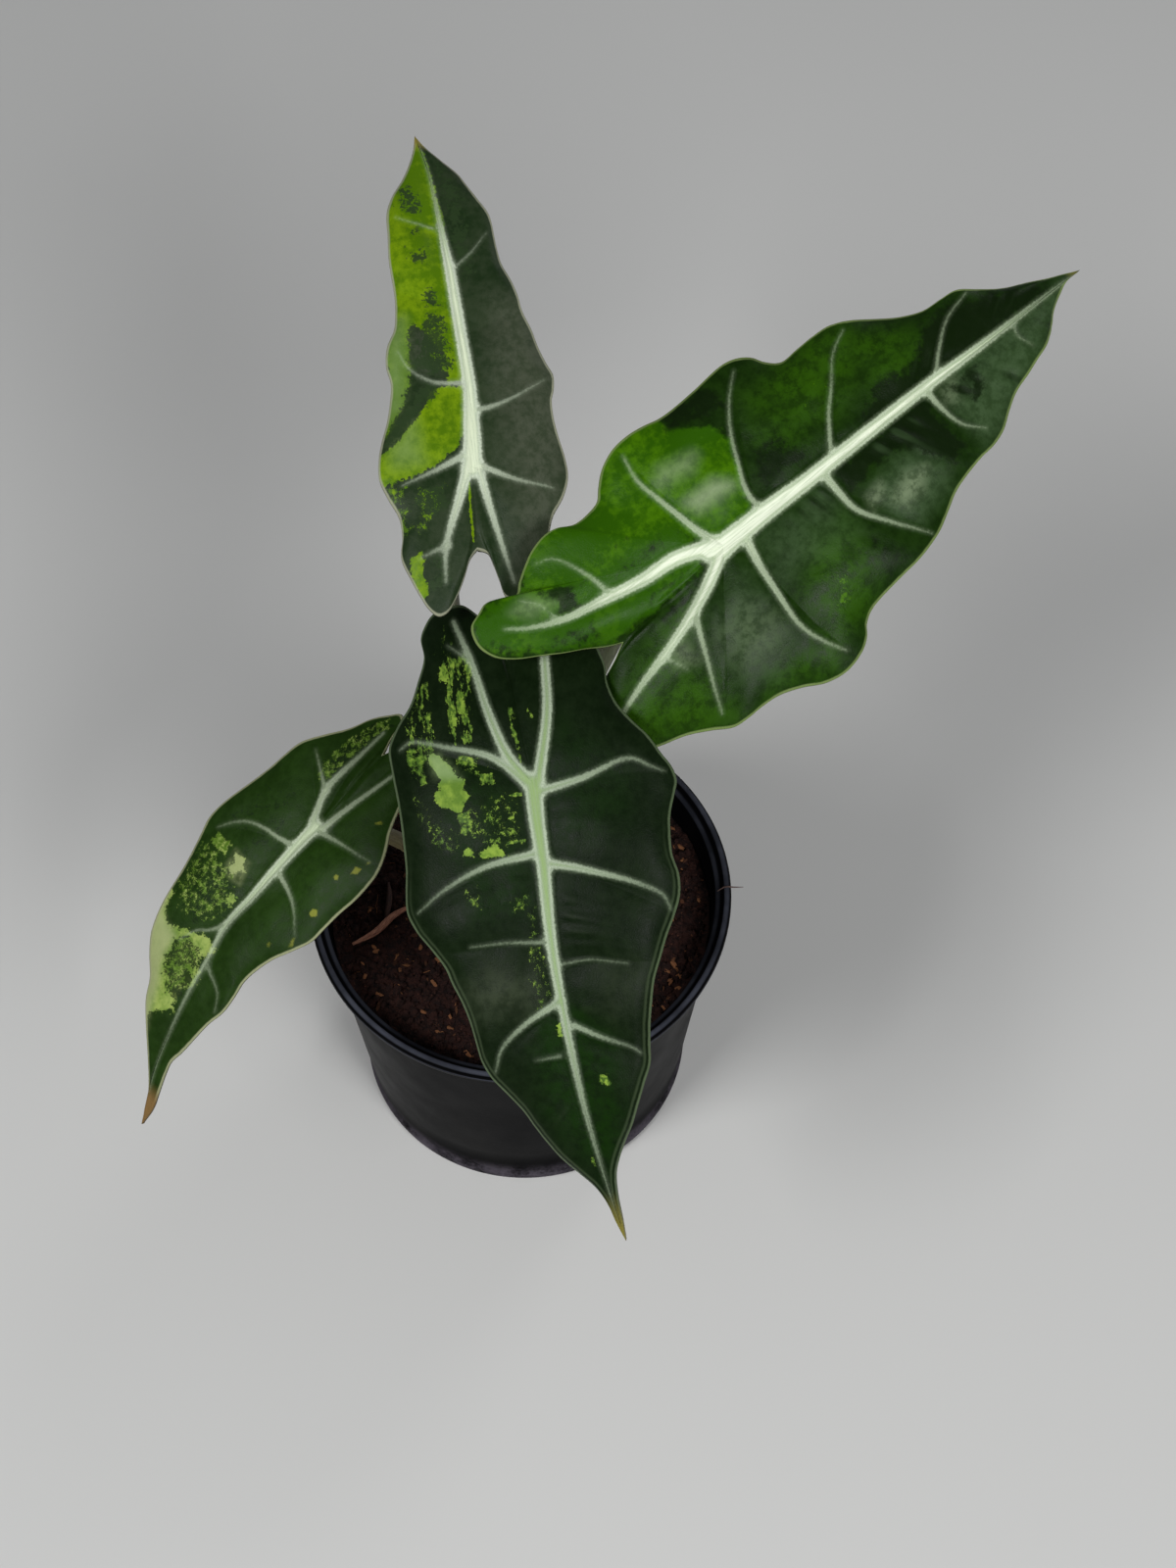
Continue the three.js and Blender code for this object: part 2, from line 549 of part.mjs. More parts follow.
// Half-section of the pot from the middle of the underside round the rim to the middle of the floor, then drilled
function potSolid() {
  const profile = [[0, 0]];
  for (let i = 0; i <= 3; i++) {
    const angle = (i / 3) * (Math.PI / 2);
    const inset = FOOT_ROUND * (1 - Math.sin(angle));
    profile.push([FOOT_RADIUS - inset, FOOT_ROUND * (1 - Math.cos(angle))]);
  }
  profile.push([FOOT_RADIUS, FOOT_TOP - 1]);
  profile.push([wallRadius(FOOT_TOP), FOOT_TOP]);
  profile.push([wallRadius(POT_HEIGHT - LIP_FOOT), POT_HEIGHT - LIP_FOOT]);
  for (const [r, z] of LIP) profile.push([RIM_RADIUS + r, POT_HEIGHT + z]);
  profile.push([wallRadius(POT_HEIGHT - LIP_INNER) - WALL, POT_HEIGHT - LIP_INNER]);
  profile.push([wallRadius(FOOT_TOP) - WALL, FOOT_TOP]);
  profile.push([FOOT_RADIUS - WALL - FLOOR_CORNER, FLOOR]);
  profile.push([0, FLOOR]);
  let pot = latheSolid(profile, POT_SIDES);
  const drill = new THREE.CylinderGeometry(DRAIN_RADIUS, DRAIN_RADIUS, 4 * FLOOR, 12);
  drill.deleteAttribute("normal");
  drill.deleteAttribute("uv");
  drill.rotateX(Math.PI / 2);
  for (let i = 0; i < DRAIN_HOLES; i++) {
    const angle = ((i + 0.5) / DRAIN_HOLES) * Math.PI * 2;
    const hole = drill.clone().translate(DRAIN_RING * Math.cos(angle), DRAIN_RING * Math.sin(angle), 0);
    pot = pot.subtract(solidOf(mergeVertices(hole, 1e-3)));
  }
  return pot;
}

function latheSolid(profile, sides) {
  const geometry = new THREE.LatheGeometry(
    profile.map(([r, z]) => new THREE.Vector2(r, z)),
    sides,
  );
  geometry.rotateX(Math.PI / 2);
  const position = geometry.attributes.position;
  const points = [];
  for (let i = 0; i < position.count; i++) points.push(new THREE.Vector3().fromBufferAttribute(position, i));
  return solidFrom(points, [...geometry.index.array]);
}

// Crumbly soil: a filled cone with a seeded rough top
function soilSolid() {
  const random = seeded(11);
  const inner = (z) => wallRadius(z) - WALL - CLEARANCE;
  const bottom = FLOOR + CLEARANCE;
  const points = [new THREE.Vector3(0, 0, SOIL_TOP)];
  const corners = [];
  const rings = [...SOIL_RINGS.map((r) => [r, SOIL_TOP]), [inner(SOIL_TOP), SOIL_TOP]];
  rings.push([inner(FOOT_TOP), FOOT_TOP], [FOOT_RADIUS - WALL - FLOOR_CORNER - CLEARANCE, bottom]);
  rings.forEach(([r, z], i) => {
    for (let j = 0; j < SOIL_SIDES; j++) {
      const rough = i < SOIL_RINGS.length;
      const angle = ((j + (rough ? 0.5 * (random() - 0.5) : 0)) / SOIL_SIDES) * Math.PI * 2;
      const lift = rough ? SOIL_RELIEF * (2 * random() - 1) : 0;
      const radius = rough ? r + 2 * (random() - 0.5) : r;
      points.push(new THREE.Vector3(radius * Math.cos(angle), radius * Math.sin(angle), z + lift));
    }
  });
  points.push(new THREE.Vector3(0, 0, bottom));
  const at = (i, j) => 1 + i * SOIL_SIDES + (j % SOIL_SIDES);
  for (let j = 0; j < SOIL_SIDES; j++) {
    corners.push(0, at(0, j), at(0, j + 1));
    for (let i = 0; i + 1 < rings.length; i++) {
      corners.push(at(i, j), at(i + 1, j), at(i + 1, j + 1), at(i, j), at(i + 1, j + 1), at(i, j + 1));
    }
    corners.push(points.length - 1, at(rings.length - 1, j + 1), at(rings.length - 1, j));
  }
  let soil = solidFrom(points, corners);
  for (const name of Object.keys(PETIOLES)) soil = soil.subtract(petioleSolid(name, CLEARANCE));
  return largest(soil.subtract(sheathSolid(CLEARANCE)));
}

const plant = new THREE.Group();

function addNode(name, solid, look) {
  const material = new THREE.MeshStandardMaterial({ ...look, metalness: 0 });
  const mesh = new THREE.Mesh(geometryOf(solid), material);
  mesh.name = name;
  plant.add(mesh);
}

addNode("pot", potSolid(), COLOURS.pot);
addNode("soil", soilSolid(), COLOURS.soil);
addNode("dry_sheath", sheathSolid(), COLOURS.sheath);
for (const [name, leaf] of Object.entries(LEAVES)) {
  addNode(`leaf_${name}`, bladeSolid(leaf), COLOURS[name]);
  addNode(`petiole_${name}`, largest(petioleSolid(name).subtract(bladeSolid(leaf, CLEARANCE))), COLOURS.petiole);
}

export default plant;
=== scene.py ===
import bpy
import bmesh
import math
import numpy as np
from mathutils import Matrix, Vector, noise


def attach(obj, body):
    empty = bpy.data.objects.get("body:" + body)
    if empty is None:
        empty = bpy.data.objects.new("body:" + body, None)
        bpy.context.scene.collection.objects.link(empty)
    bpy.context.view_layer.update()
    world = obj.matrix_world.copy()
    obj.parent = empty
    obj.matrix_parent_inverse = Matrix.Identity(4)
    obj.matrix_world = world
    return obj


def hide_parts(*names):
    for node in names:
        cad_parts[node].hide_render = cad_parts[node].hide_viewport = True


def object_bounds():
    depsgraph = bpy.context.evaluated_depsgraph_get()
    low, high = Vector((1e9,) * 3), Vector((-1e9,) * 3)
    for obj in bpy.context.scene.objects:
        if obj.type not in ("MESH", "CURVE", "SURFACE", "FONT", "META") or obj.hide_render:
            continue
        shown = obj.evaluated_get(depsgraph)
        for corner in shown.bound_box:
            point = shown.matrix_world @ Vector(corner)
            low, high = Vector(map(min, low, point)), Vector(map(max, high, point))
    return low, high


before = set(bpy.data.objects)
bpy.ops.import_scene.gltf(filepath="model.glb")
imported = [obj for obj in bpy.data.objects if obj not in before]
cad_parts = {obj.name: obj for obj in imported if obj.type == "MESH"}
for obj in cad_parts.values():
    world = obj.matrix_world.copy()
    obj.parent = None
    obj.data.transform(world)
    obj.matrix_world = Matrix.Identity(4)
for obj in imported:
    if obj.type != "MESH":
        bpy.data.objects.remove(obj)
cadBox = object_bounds()
mm = 0.001
fullTurn = 2 * math.pi


# Small tools for meshes

def addPiece(name, mesh, material, slotName, *nodes):
    piece = bpy.data.objects.new(name, mesh)
    bpy.context.scene.collection.objects.link(piece)
    mesh.materials.clear()
    mesh.materials.append(material)
    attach(piece, "root")
    if nodes:
        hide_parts(*nodes)
    return piece


def meshFrom(bm, name, smooth=True):
    mesh = bpy.data.meshes.new(name)
    for face in bm.faces:
        face.smooth = smooth
    bm.to_mesh(mesh)
    bm.free()
    return mesh


def coordinates(mesh):
    flat = np.empty(len(mesh.vertices) * 3)
    mesh.vertices.foreach_get("co", flat)
    return flat.reshape(-1, 3)


def giveAttribute(mesh, name, values):
    mesh.attributes.new(name, "FLOAT", "POINT").data.foreach_set("value", values.astype(np.float32))


def faceOutward(bm):
    bmesh.ops.recalc_face_normals(bm, faces=bm.faces)
    if bm.calc_volume(signed=True) < 0:
        bmesh.ops.reverse_faces(bm, faces=bm.faces)


def weld(mesh, distance):
    bm = bmesh.new()
    bm.from_mesh(mesh)
    bmesh.ops.remove_doubles(bm, verts=bm.verts, dist=distance)
    faceOutward(bm)
    bm.to_mesh(mesh)
    bm.free()


def lengthwaysEdges(bm):
    return [edge for edge in bm.edges if abs(edge.verts[0].co.z - edge.verts[1].co.z) > 0.5]


def blendStep(value, low, high):
    f = np.clip((value - low) / (high - low), 0, 1)
    return f * f * (3 - 2 * f)


# A smooth line through points, the same curve as in the solids (centripetal Catmull-Rom)
def smoothLine(points, steps=8):
    p = np.array(points, float)
    ends = [2 * p[0] - p[1], *p, 2 * p[-1] - p[-2]]
    samples = []
    for i in range(len(p) - 1):
        a, b, c, d = ends[i:i + 4]
        before, here, after = (np.sqrt(np.linalg.norm(gap)) for gap in (b - a, c - b, d - c))
        ta = ((b - a) / before - (c - a) / (before + here) + (c - b) / here) * here
        tb = ((c - b) / here - (d - b) / (here + after) + (d - c) / after) * here
        for t in np.arange(steps) / steps:
            bend = 3 * (c - b) - 2 * ta - tb
            samples.append(b + ta * t + bend * t * t + (2 * (b - c) + ta + tb) * t ** 3)
    samples.append(p[-1])
    samples = np.array(samples)
    lengths = np.concatenate([[0], np.cumsum(np.linalg.norm(np.diff(samples, axis=0), axis=1))])
    return samples, lengths


def pointAt(line, length):
    samples, lengths = line
    return np.stack([np.interp(length, lengths, samples[:, k]) for k in range(samples.shape[1])], -1)


def nearestLength(line, point):
    samples, lengths = line
    return lengths[np.argmin(np.linalg.norm(samples - np.array(point), axis=1))]


# Small tools for materials. A value is a number, a vector or the socket of another node.

def feed(tree, node, inputs):
    for key, value in inputs.items():
        if isinstance(value, bpy.types.NodeSocket):
            tree.links.new(value, node.inputs[key])
        else:
            node.inputs[key].default_value = value


def put(tree, kind, inputs, **settings):
    node = tree.nodes.new(kind)
    for key, value in settings.items():
        setattr(node, key, value)
    feed(tree, node, inputs)
    return node


def calc(tree, operation, a, b=0.0, c=0.0):
    return put(tree, "ShaderNodeMath", {0: a, 1: b, 2: c}, operation=operation).outputs[0]


def plus(tree, *values):
    total = values[0]
    for value in values[1:]:
        total = calc(tree, "ADD", total, value)
    return total


def times(tree, *values):
    product = values[0]
    for value in values[1:]:
        product = calc(tree, "MULTIPLY", product, value)
    return product


# The sum of values, each with its weight
def weighted(tree, *parts):
    return plus(tree, *[times(tree, value, weight) for value, weight in parts])


def ramp(tree, value, low, high, start=0.0, end=1.0):
    inputs = {"Value": value, "From Min": low, "From Max": high, "To Min": start, "To Max": end}
    return put(tree, "ShaderNodeMapRange", inputs, interpolation_type="SMOOTHSTEP").outputs["Result"]


# Red, green and blue from 0 to 255 as a screen shows them, turned into linear values
def colour(red, green, blue):
    linear = [c / 3294.6 if c < 10.3 else ((c / 255 + 0.055) / 1.055) ** 2.4 for c in (red, green, blue)]
    return (*linear, 1.0)


# A colour is a socket or a triple of red, green and blue. Inputs 0, 6 and 7: the cover and the two colours.
def mixColour(tree, cover, a, b):
    a, b = (colour(*tone) if isinstance(tone, tuple) else tone for tone in (a, b))
    return put(tree, "ShaderNodeMix", {0: cover, 6: a, 7: b}, data_type="RGBA").outputs[2]


# Coats laid over a skin one by one, each with its cover from 0 to 1 and its colour
def paintOver(tree, skin, *coats):
    for cover, tone in coats:
        skin = mixColour(tree, cover, skin, tone)
    return skin


def noiseOf(tree, vector, scale, detail, rough):
    inputs = {"Vector": vector, "Scale": scale, "Detail": detail, "Roughness": rough}
    return put(tree, "ShaderNodeTexNoise", inputs).outputs["Fac"]


def netOf(tree, vector, scale):
    inputs = {"Vector": vector, "Scale": scale}
    return put(tree, "ShaderNodeTexVoronoi", inputs, feature="DISTANCE_TO_EDGE").outputs["Distance"]


def stretch(tree, vector, scale):
    return put(tree, "ShaderNodeMapping", {"Vector": vector, "Scale": scale}).outputs[0]


def part(tree, vector, axis):
    return put(tree, "ShaderNodeSeparateXYZ", {0: vector}).outputs[axis]


def attribute(tree, name, output="Fac"):
    return put(tree, "ShaderNodeAttribute", {}, attribute_name=name).outputs[output]


def objectPlace(tree):
    return put(tree, "ShaderNodeTexCoord", {}).outputs["Object"]


def bumpOf(tree, height, strength, distance):
    inputs = {"Height": height, "Strength": strength, "Distance": distance}
    return put(tree, "ShaderNodeBump", inputs).outputs[0]


# Place on a round bar: round the bar on a ring of radius 1, and its length squeezed by a factor
def barPlace(tree, squeeze):
    turn, length = attribute(tree, "round"), attribute(tree, "along")
    inputs = {0: calc(tree, "COSINE", turn), 1: calc(tree, "SINE", turn), 2: times(tree, length, squeeze)}
    return put(tree, "ShaderNodeCombineXYZ", inputs).outputs[0], length


# A group that turns a vector and the named numbers into one number
def newGroup(name, output, numbers):
    group = bpy.data.node_groups.new(name, "ShaderNodeTree")
    group.interface.new_socket("Vector", in_out="INPUT", socket_type="NodeSocketVector")
    for label, value in numbers.items():
        socket = group.interface.new_socket(label, in_out="INPUT", socket_type="NodeSocketFloat")
        socket.default_value = value
    group.interface.new_socket(output, in_out="OUTPUT", socket_type="NodeSocketFloat")
    return group, group.nodes.new("NodeGroupInput").outputs, group.nodes.new("NodeGroupOutput")


def placeGroup(tree, group, inputs):
    return put(tree, "ShaderNodeGroup", inputs, node_tree=group).outputs[0]


def newMaterial(name):
    material = bpy.data.materials.new(name)
    material.use_nodes = True
    tree = material.node_tree
    return material, tree, tree.nodes["Principled BSDF"]


# Shared effects

# Ragged patch: a soft mask broken up by noise and by a mosaic of small cells
def patchGroup():
    numbers = {"Mask": 0.0, "Grain": 1.0, "Ragged": 0.6, "Soft": 0.05}
    group, given, result = newGroup("ragged patch", "Patch", numbers)
    coarse = noiseOf(group, given["Vector"], 0.3, 5, 0.7)
    fine = noiseOf(group, given["Vector"], given["Grain"], 3, 0.6)
    cellInputs = {"Vector": given["Vector"], "Scale": times(group, given["Grain"], 1.6)}
    cells = put(group, "ShaderNodeTexVoronoi", cellInputs).outputs["Color"]
    mosaic = put(group, "ShaderNodeSeparateColor", {0: cells}).outputs[0]
    broken = weighted(group, (coarse, 0.62), (fine, 0.3), (mosaic, 0.08))
    offset = times(group, calc(group, "SUBTRACT", broken, 0.5), times(group, given["Ragged"], 4.0))
    edge = calc(group, "SUBTRACT", plus(group, given["Mask"], offset), 0.5)
    inside = plus(group, calc(group, "DIVIDE", edge, given["Soft"]), 0.5)
    inside = ramp(group, calc(group, "SMOOTH_MIN", inside, 1.0, 0.2), 0.0, 1.0)
    # nothing where the mask is nil
    feed(group, result, {0: times(group, inside, ramp(group, given["Mask"], 0.02, 0.1))})
    return group


# Specks, denser where the mask is stronger
def speckGroup():
    group, given, result = newGroup("specks", "Specks", {"Mask": 0.0, "Grain": 1.0})
    fine = noiseOf(group, given["Vector"], given["Grain"], 5, 0.8)
    clump = noiseOf(group, given["Vector"], times(group, given["Grain"], 0.17), 3, 0.65)
    level = ramp(group, given["Mask"], 0.0, 1.0, 0.68, 0.4)
    above = calc(group, "SUBTRACT", weighted(group, (fine, 0.48), (clump, 0.52)), level)
    above = ramp(group, above, -0.012, 0.03)
    feed(group, result, {0: times(group, above, ramp(group, given["Mask"], 0.02, 0.12))})
    return group


# Dust and scuffs, strongest at the low height and gone at the high one
def scuffGroup():
    group, given, result = newGroup("scuffs", "Scuff", {"Low": 0.0, "High": 0.01, "Amount": 0.5})
    band = ramp(group, part(group, given["Vector"], "Z"), given["Low"], given["High"], 1.0, 0.0)
    broad = noiseOf(group, given["Vector"], 90, 4, 0.6)
    fine = noiseOf(group, given["Vector"], 900, 3, 0.7)
    cloud = weighted(group, (broad, 0.7), (fine, 0.3))
    feed(group, result, {0: times(group, band, given["Amount"], ramp(group, cloud, 0.35, 0.62))})
    return group


patches = patchGroup()
specks = speckGroup()
scuffs = scuffGroup()


# Leaves. u runs along the midrib to the tip, v to the left of it: millimetres on the leaf's own plane.

blade = {
    # heights and widths in millimetres
    "thickness": 0.9, "edgeThickness": 0.65, "spineLift": 0.2, "spineLiftWidth": 2.5, "midribDepth": 2.2,
    "keelHalf": (2.4, 0.4), "ribRise": 0.4, "ribDepth": 0.9, "web": 1.6, "sharp": 1e-6, "rippleLength": 5,
    "puckerReach": 18, "deepPucker": 0.3, "narrow": 12, "lobeBlend": 8, "foldRound": 2, "farOff": 99.0,
    "underLayer": 30,
    # where along the ray or beside a line each form starts and ends to blend in
    "curlBand": (0.8, 0.2), "thinFrom": 0.84, "ribStart": 0.06, "ribSoft": (1.1, -0.5), "ribFromKeel": 2,
    "ribSoftUnder": (0.7, -0.7), "puckerStart": (2, 12), "puckerBand": (1.5, 6), "lumpBand": (2, 6),
    # noise along and across the leaf
    "puckerNoise": (0.07, 0.12), "lumpNoise": (0.085, 0.11),
    # mesh: columns from midrib to margin, crowded towards the midrib, and the longest steps between rows
    "columns": 62, "underColumns": 26, "crowding": 1.2, "marginStep": 0.66, "spineStep": 0.5,
    # metres
    "insideBox": 1e-5, "weld": 4e-8,
}
# Of these kinds the grey areas are painted sheen, and the pale areas are in part the leaf's own paler colour
# and in part painted highlights. Each leaf's grey colour also paints sheen on pucker crests, and its dark
# colour paints shade in their hollows as well as its own dark patches.
areaKinds = ("lime", "deep", "speckle", "streak", "dark", "paleAndSheen", "sheenGrey", "green", "yellow")

# For each leaf: joint and tip in the frame; roll about the midrib in degrees; arch, fold, cup and drop of its
# two lobes; lobe, their length; puff of the domes between the veins; curl and ripple of the margin; pucker
# beside the midrib and low lumps; apex and sinus, where the halves meet; dry, where the dry tip begins. Rays
# are the lines that domes end at: start on the midrib, a point on the way, end on the margin. noVein is a ray
# without a vein. Veins have a path and their width at both ends, areas a strength, half the width of their
# soft border and an outline.
leafBack = {
    "joint": (-9.7, 39.2, 234), "tip": (-26.2, 136, 252), "roll": 0, "arch": 4, "lobe": 36, "drop": (3, 6),
    "fold": 0.12, "cup": 0.006, "puff": 0.9, "curl": 0.6, "ripple": 0.6, "pucker": (0.05, 0.08),
    "lumps": 0.5, "apex": (99, 0.3), "sinus": (-20.5, 2), "dry": (93, 98),
    "midrib": [(86, -1.5), (71, -2), (55, -2.5), (38, -2.5), (21, -2.5), (7, -1)],
    "left": {
        "margin": [(95, 1.2), (90, 3), (85, 5.5), (80, 9), (75, 11), (68, 11.7), (60, 12.5), (50, 12.5),
            (45, 13), (40, 14), (35, 16.5), (30, 17.5), (25, 17), (20, 18), (15, 19.5), (10, 21.5), (5, 23),
            (0, 23.5), (-5, 22), (-10, 20), (-15, 20), (-20, 21), (-25.5, 19.5), (-30, 17.8), (-33.2, 16.2),
            (-35.3, 14), (-34.6, 11.6), (-31.5, 9), (-27, 6.3), (-22.5, 4)],
        "rays": [(68, (69.5, 4), (73, 11.3)), (45, (46, 6), (51, 12.5)), (22.5, (24, 7.5), (32, 17)),
            (3, (-0.5, 11.5), (-3, 22.5)), (0, (-17, 8.8), (-35.2, 13.5))],
    },
    "right": {
        "margin": [(95, -2), (90, -5.5), (85, -9), (80, -11), (75, -13), (70, -15), (60, -15.5), (55, -16),
            (50, -17.5), (45, -18.5), (40, -19), (35, -20.5), (30, -21.5), (25, -23), (22, -24),
            (18, -23.5), (15, -22.5), (10, -22.2), (5, -22.7), (0, -23.5), (-5, -23.5), (-10, -21.5),
            (-15, -18), (-19, -16.5), (-24, -15.5), (-28.5, -13.5), (-32, -10), (-33, -6.5), (-32, -3.5),
            (-28.5, -2.5), (-24.5, -1.5), (-21.5, -0.5)],
        "rays": [(56, (60, -9), (68, -15.2)), (36, (37, -11), (42, -18.8)), (15, (16.5, -12.5), (22, -24)),
            (0, (-5.5, -12), (-9.5, -21.8)), (0, (-16.5, -3.6), (-33, -7))],
    },
    "veins": [([(99, 0), (86, -1.5), (71, -2)], (0.2, 1.3)),
        ([(71, -2), (64, -2.2), (55, -2.5)], (1.3, 2.8)),
        ([(55, -2.5), (38, -2.5), (21, -2.5)], (2.8, 3.3)), ([(21, -2.5), (7, -1), (0, 0)], (3.4, 5.2)),
        ([(68, 0), (71, 6), (73, 9)], (0.8, 0.3)),
        ([(22.5, 0), (23.5, 6.5), (28, 12), (33, 14)], (1.4, 0.3)),
        ([(3, 2), (-0.5, 11), (-2.5, 18)], (1.8, 0.5)),
        ([(-1, 1.5), (-10, 5.5), (-19, 9.5), (-28, 11)], (2.8, 0.7)),
        ([(-19, 9), (-21.5, 16.5)], (1.3, 0.4)), ([(56, -4.5), (59, -8.5), (64.5, -13.5)], (0.8, 0.25)),
        ([(14.5, -3), (16, -11.5), (20.5, -21.5)], (1.5, 0.4)),
        ([(0, -2), (-5, -10.5), (-8, -19)], (1.7, 0.5)),
        ([(-1, -1.5), (-9, -2.5), (-18.5, -4), (-29, -6)], (2.3, 0.8))],
    "areas": {
        "lime": [(1, 2, [(99, 1), (90, 5), (82, 10), (74, 13), (60, 14), (44, 14.5), (40, 10), (37, 6),
            (30, 2.5), (23, 2.5), (23, -2), (45, -3), (70, -3), (92, -1.5)]), (0.9, 3, [(44, 9), (44, 15),
            (36, 17.5), (22, 18), (13, 21), (10, 20), (18, 15), (24, 12), (31, 11.5), (37, 10.5)]),
            (1, 1.5, [(21.5, 7), (17, 9.5), (12, 14), (8, 18.5), (6, 23), (0, 24.5), (-2, 21), (-0.5, 14),
            (2, 8), (5, 3), (12, -1), (22, -1)]), (0.95, 1, [(-20, 15.5), (-20.5, 19.2), (-25, 19.2),
            (-31, 17.4), (-30.5, 15.5), (-25, 16)]), (0.8, 0.5, [(-2, 1.6), (-10, 2.5), (-19, 2.9),
            (-19, 2.3), (-10, 1.7), (-2, 1.1)])],
        "deep": [(0.9, 3, [(92, 1), (84, 6), (76, 9), (71, 6), (70, 1), (80, -1)]), (0.6, 3, [(66, 4),
            (56, 3), (44, 2), (44, -1), (60, -1)]), (0.6, 3, [(42, 10), (38, 16), (22, 19), (12, 22),
            (18, 14), (30, 11)])],
        "dark": [(0.62, 3, [(63, 7.5), (57, 7.5), (56, 2.5), (62, 2)]), (0.75, 2.5, [(51, 5.5), (45, 5),
            (44, 1), (50, 2)]), (0.6, 4, [(84, 7), (76, 9), (71, 5), (72, 1), (80, 2)]), (0.55, 2, [(69, 7),
            (66, 6), (66, 3), (69, 3)]), (0.7, 3.5, [(43, 3.5), (41, 7), (35, 9.5), (30, 12), (26, 9.5),
            (24, 5), (26, 1), (34, 0), (41, 1)]), (0.85, 2.4, [(23.5, 5.5), (22.5, 9), (21, 11.5),
            (18, 13.5), (14.5, 18), (9, 21.5), (8, 18.5), (12, 15.5), (14.5, 12), (18, 9), (20, 5.5)]),
            (0.8, 2.5, [(-4, 14), (-8, 16), (-12, 12), (-10, 7), (-4, 8)]), (0.6, 2, [(-18, 14), (-24, 13),
            (-30, 16), (-28, 9), (-20, 10)]), (0.6, 4, [(94, -3), (80, -9), (60, -10), (50, -8), (50, -3),
            (75, -3)])],
        # painted sheen: grey clouds where light glances off the leaf
        "sheenGrey": [(0.8, 3, [(40, 5), (36, 10.5), (29, 11), (26, 7), (32, 4)]), (0.9, 6, [(45, -12),
            (44, -20), (20, -27), (0, -26), (-15, -21), (-30, -14), (-28, -7), (-8, -9), (10, -9),
            (32, -9)])],
        "speckle": [(0.46, 2, [(42, 6), (32, 8), (25, 5), (24, 0), (36, -1), (43, 0)]),
            (0.6, 2.5, [(-1, 23), (-2, 15), (-6, 17.5), (-14, 16), (-20, 21), (-8, 24)]),
            (0.5, 3, [(-2, 16), (-3, 5), (-10, 8), (-17, 13), (-18, 18)])],
        # pale patches, in part painted sheen
        "paleAndSheen": [(0.75, 4, [(42, 12), (38, 15.5), (30, 17), (22, 17.5), (15, 19.5), (18, 15.5), (26, 13.5),
            (36, 12)]), (0.6, 4, [(13, 13), (8, 19), (3, 19), (3, 13)])],
    },
    "look": {
        "base": (27, 45, 20), "second": (46, 59, 37), "lime": (116, 148, 6), "limeTwo": (78, 114, 2),
        "paleAndSheen": (116, 143, 82), "dark": (42, 60, 32), "green": (60, 96, 10), "sheenGrey": (76, 82, 66),
        "rib": (194, 208, 180), "ribCore": (226, 236, 206), "rim": (158, 160, 136), "dry": (170, 156, 64),
        "grain": 1.1, "speckGrain": 2.8, "ragged": 0.65, "ribBorder": 0.5, "soft": 0.16, "thinRib": 0.2,
        "paleSheenOnSheet": 0.6, "foldLine": 0.0, "rough": 0.42, "shine": 0.15, "speck": (74, 106, 24),
    },
}

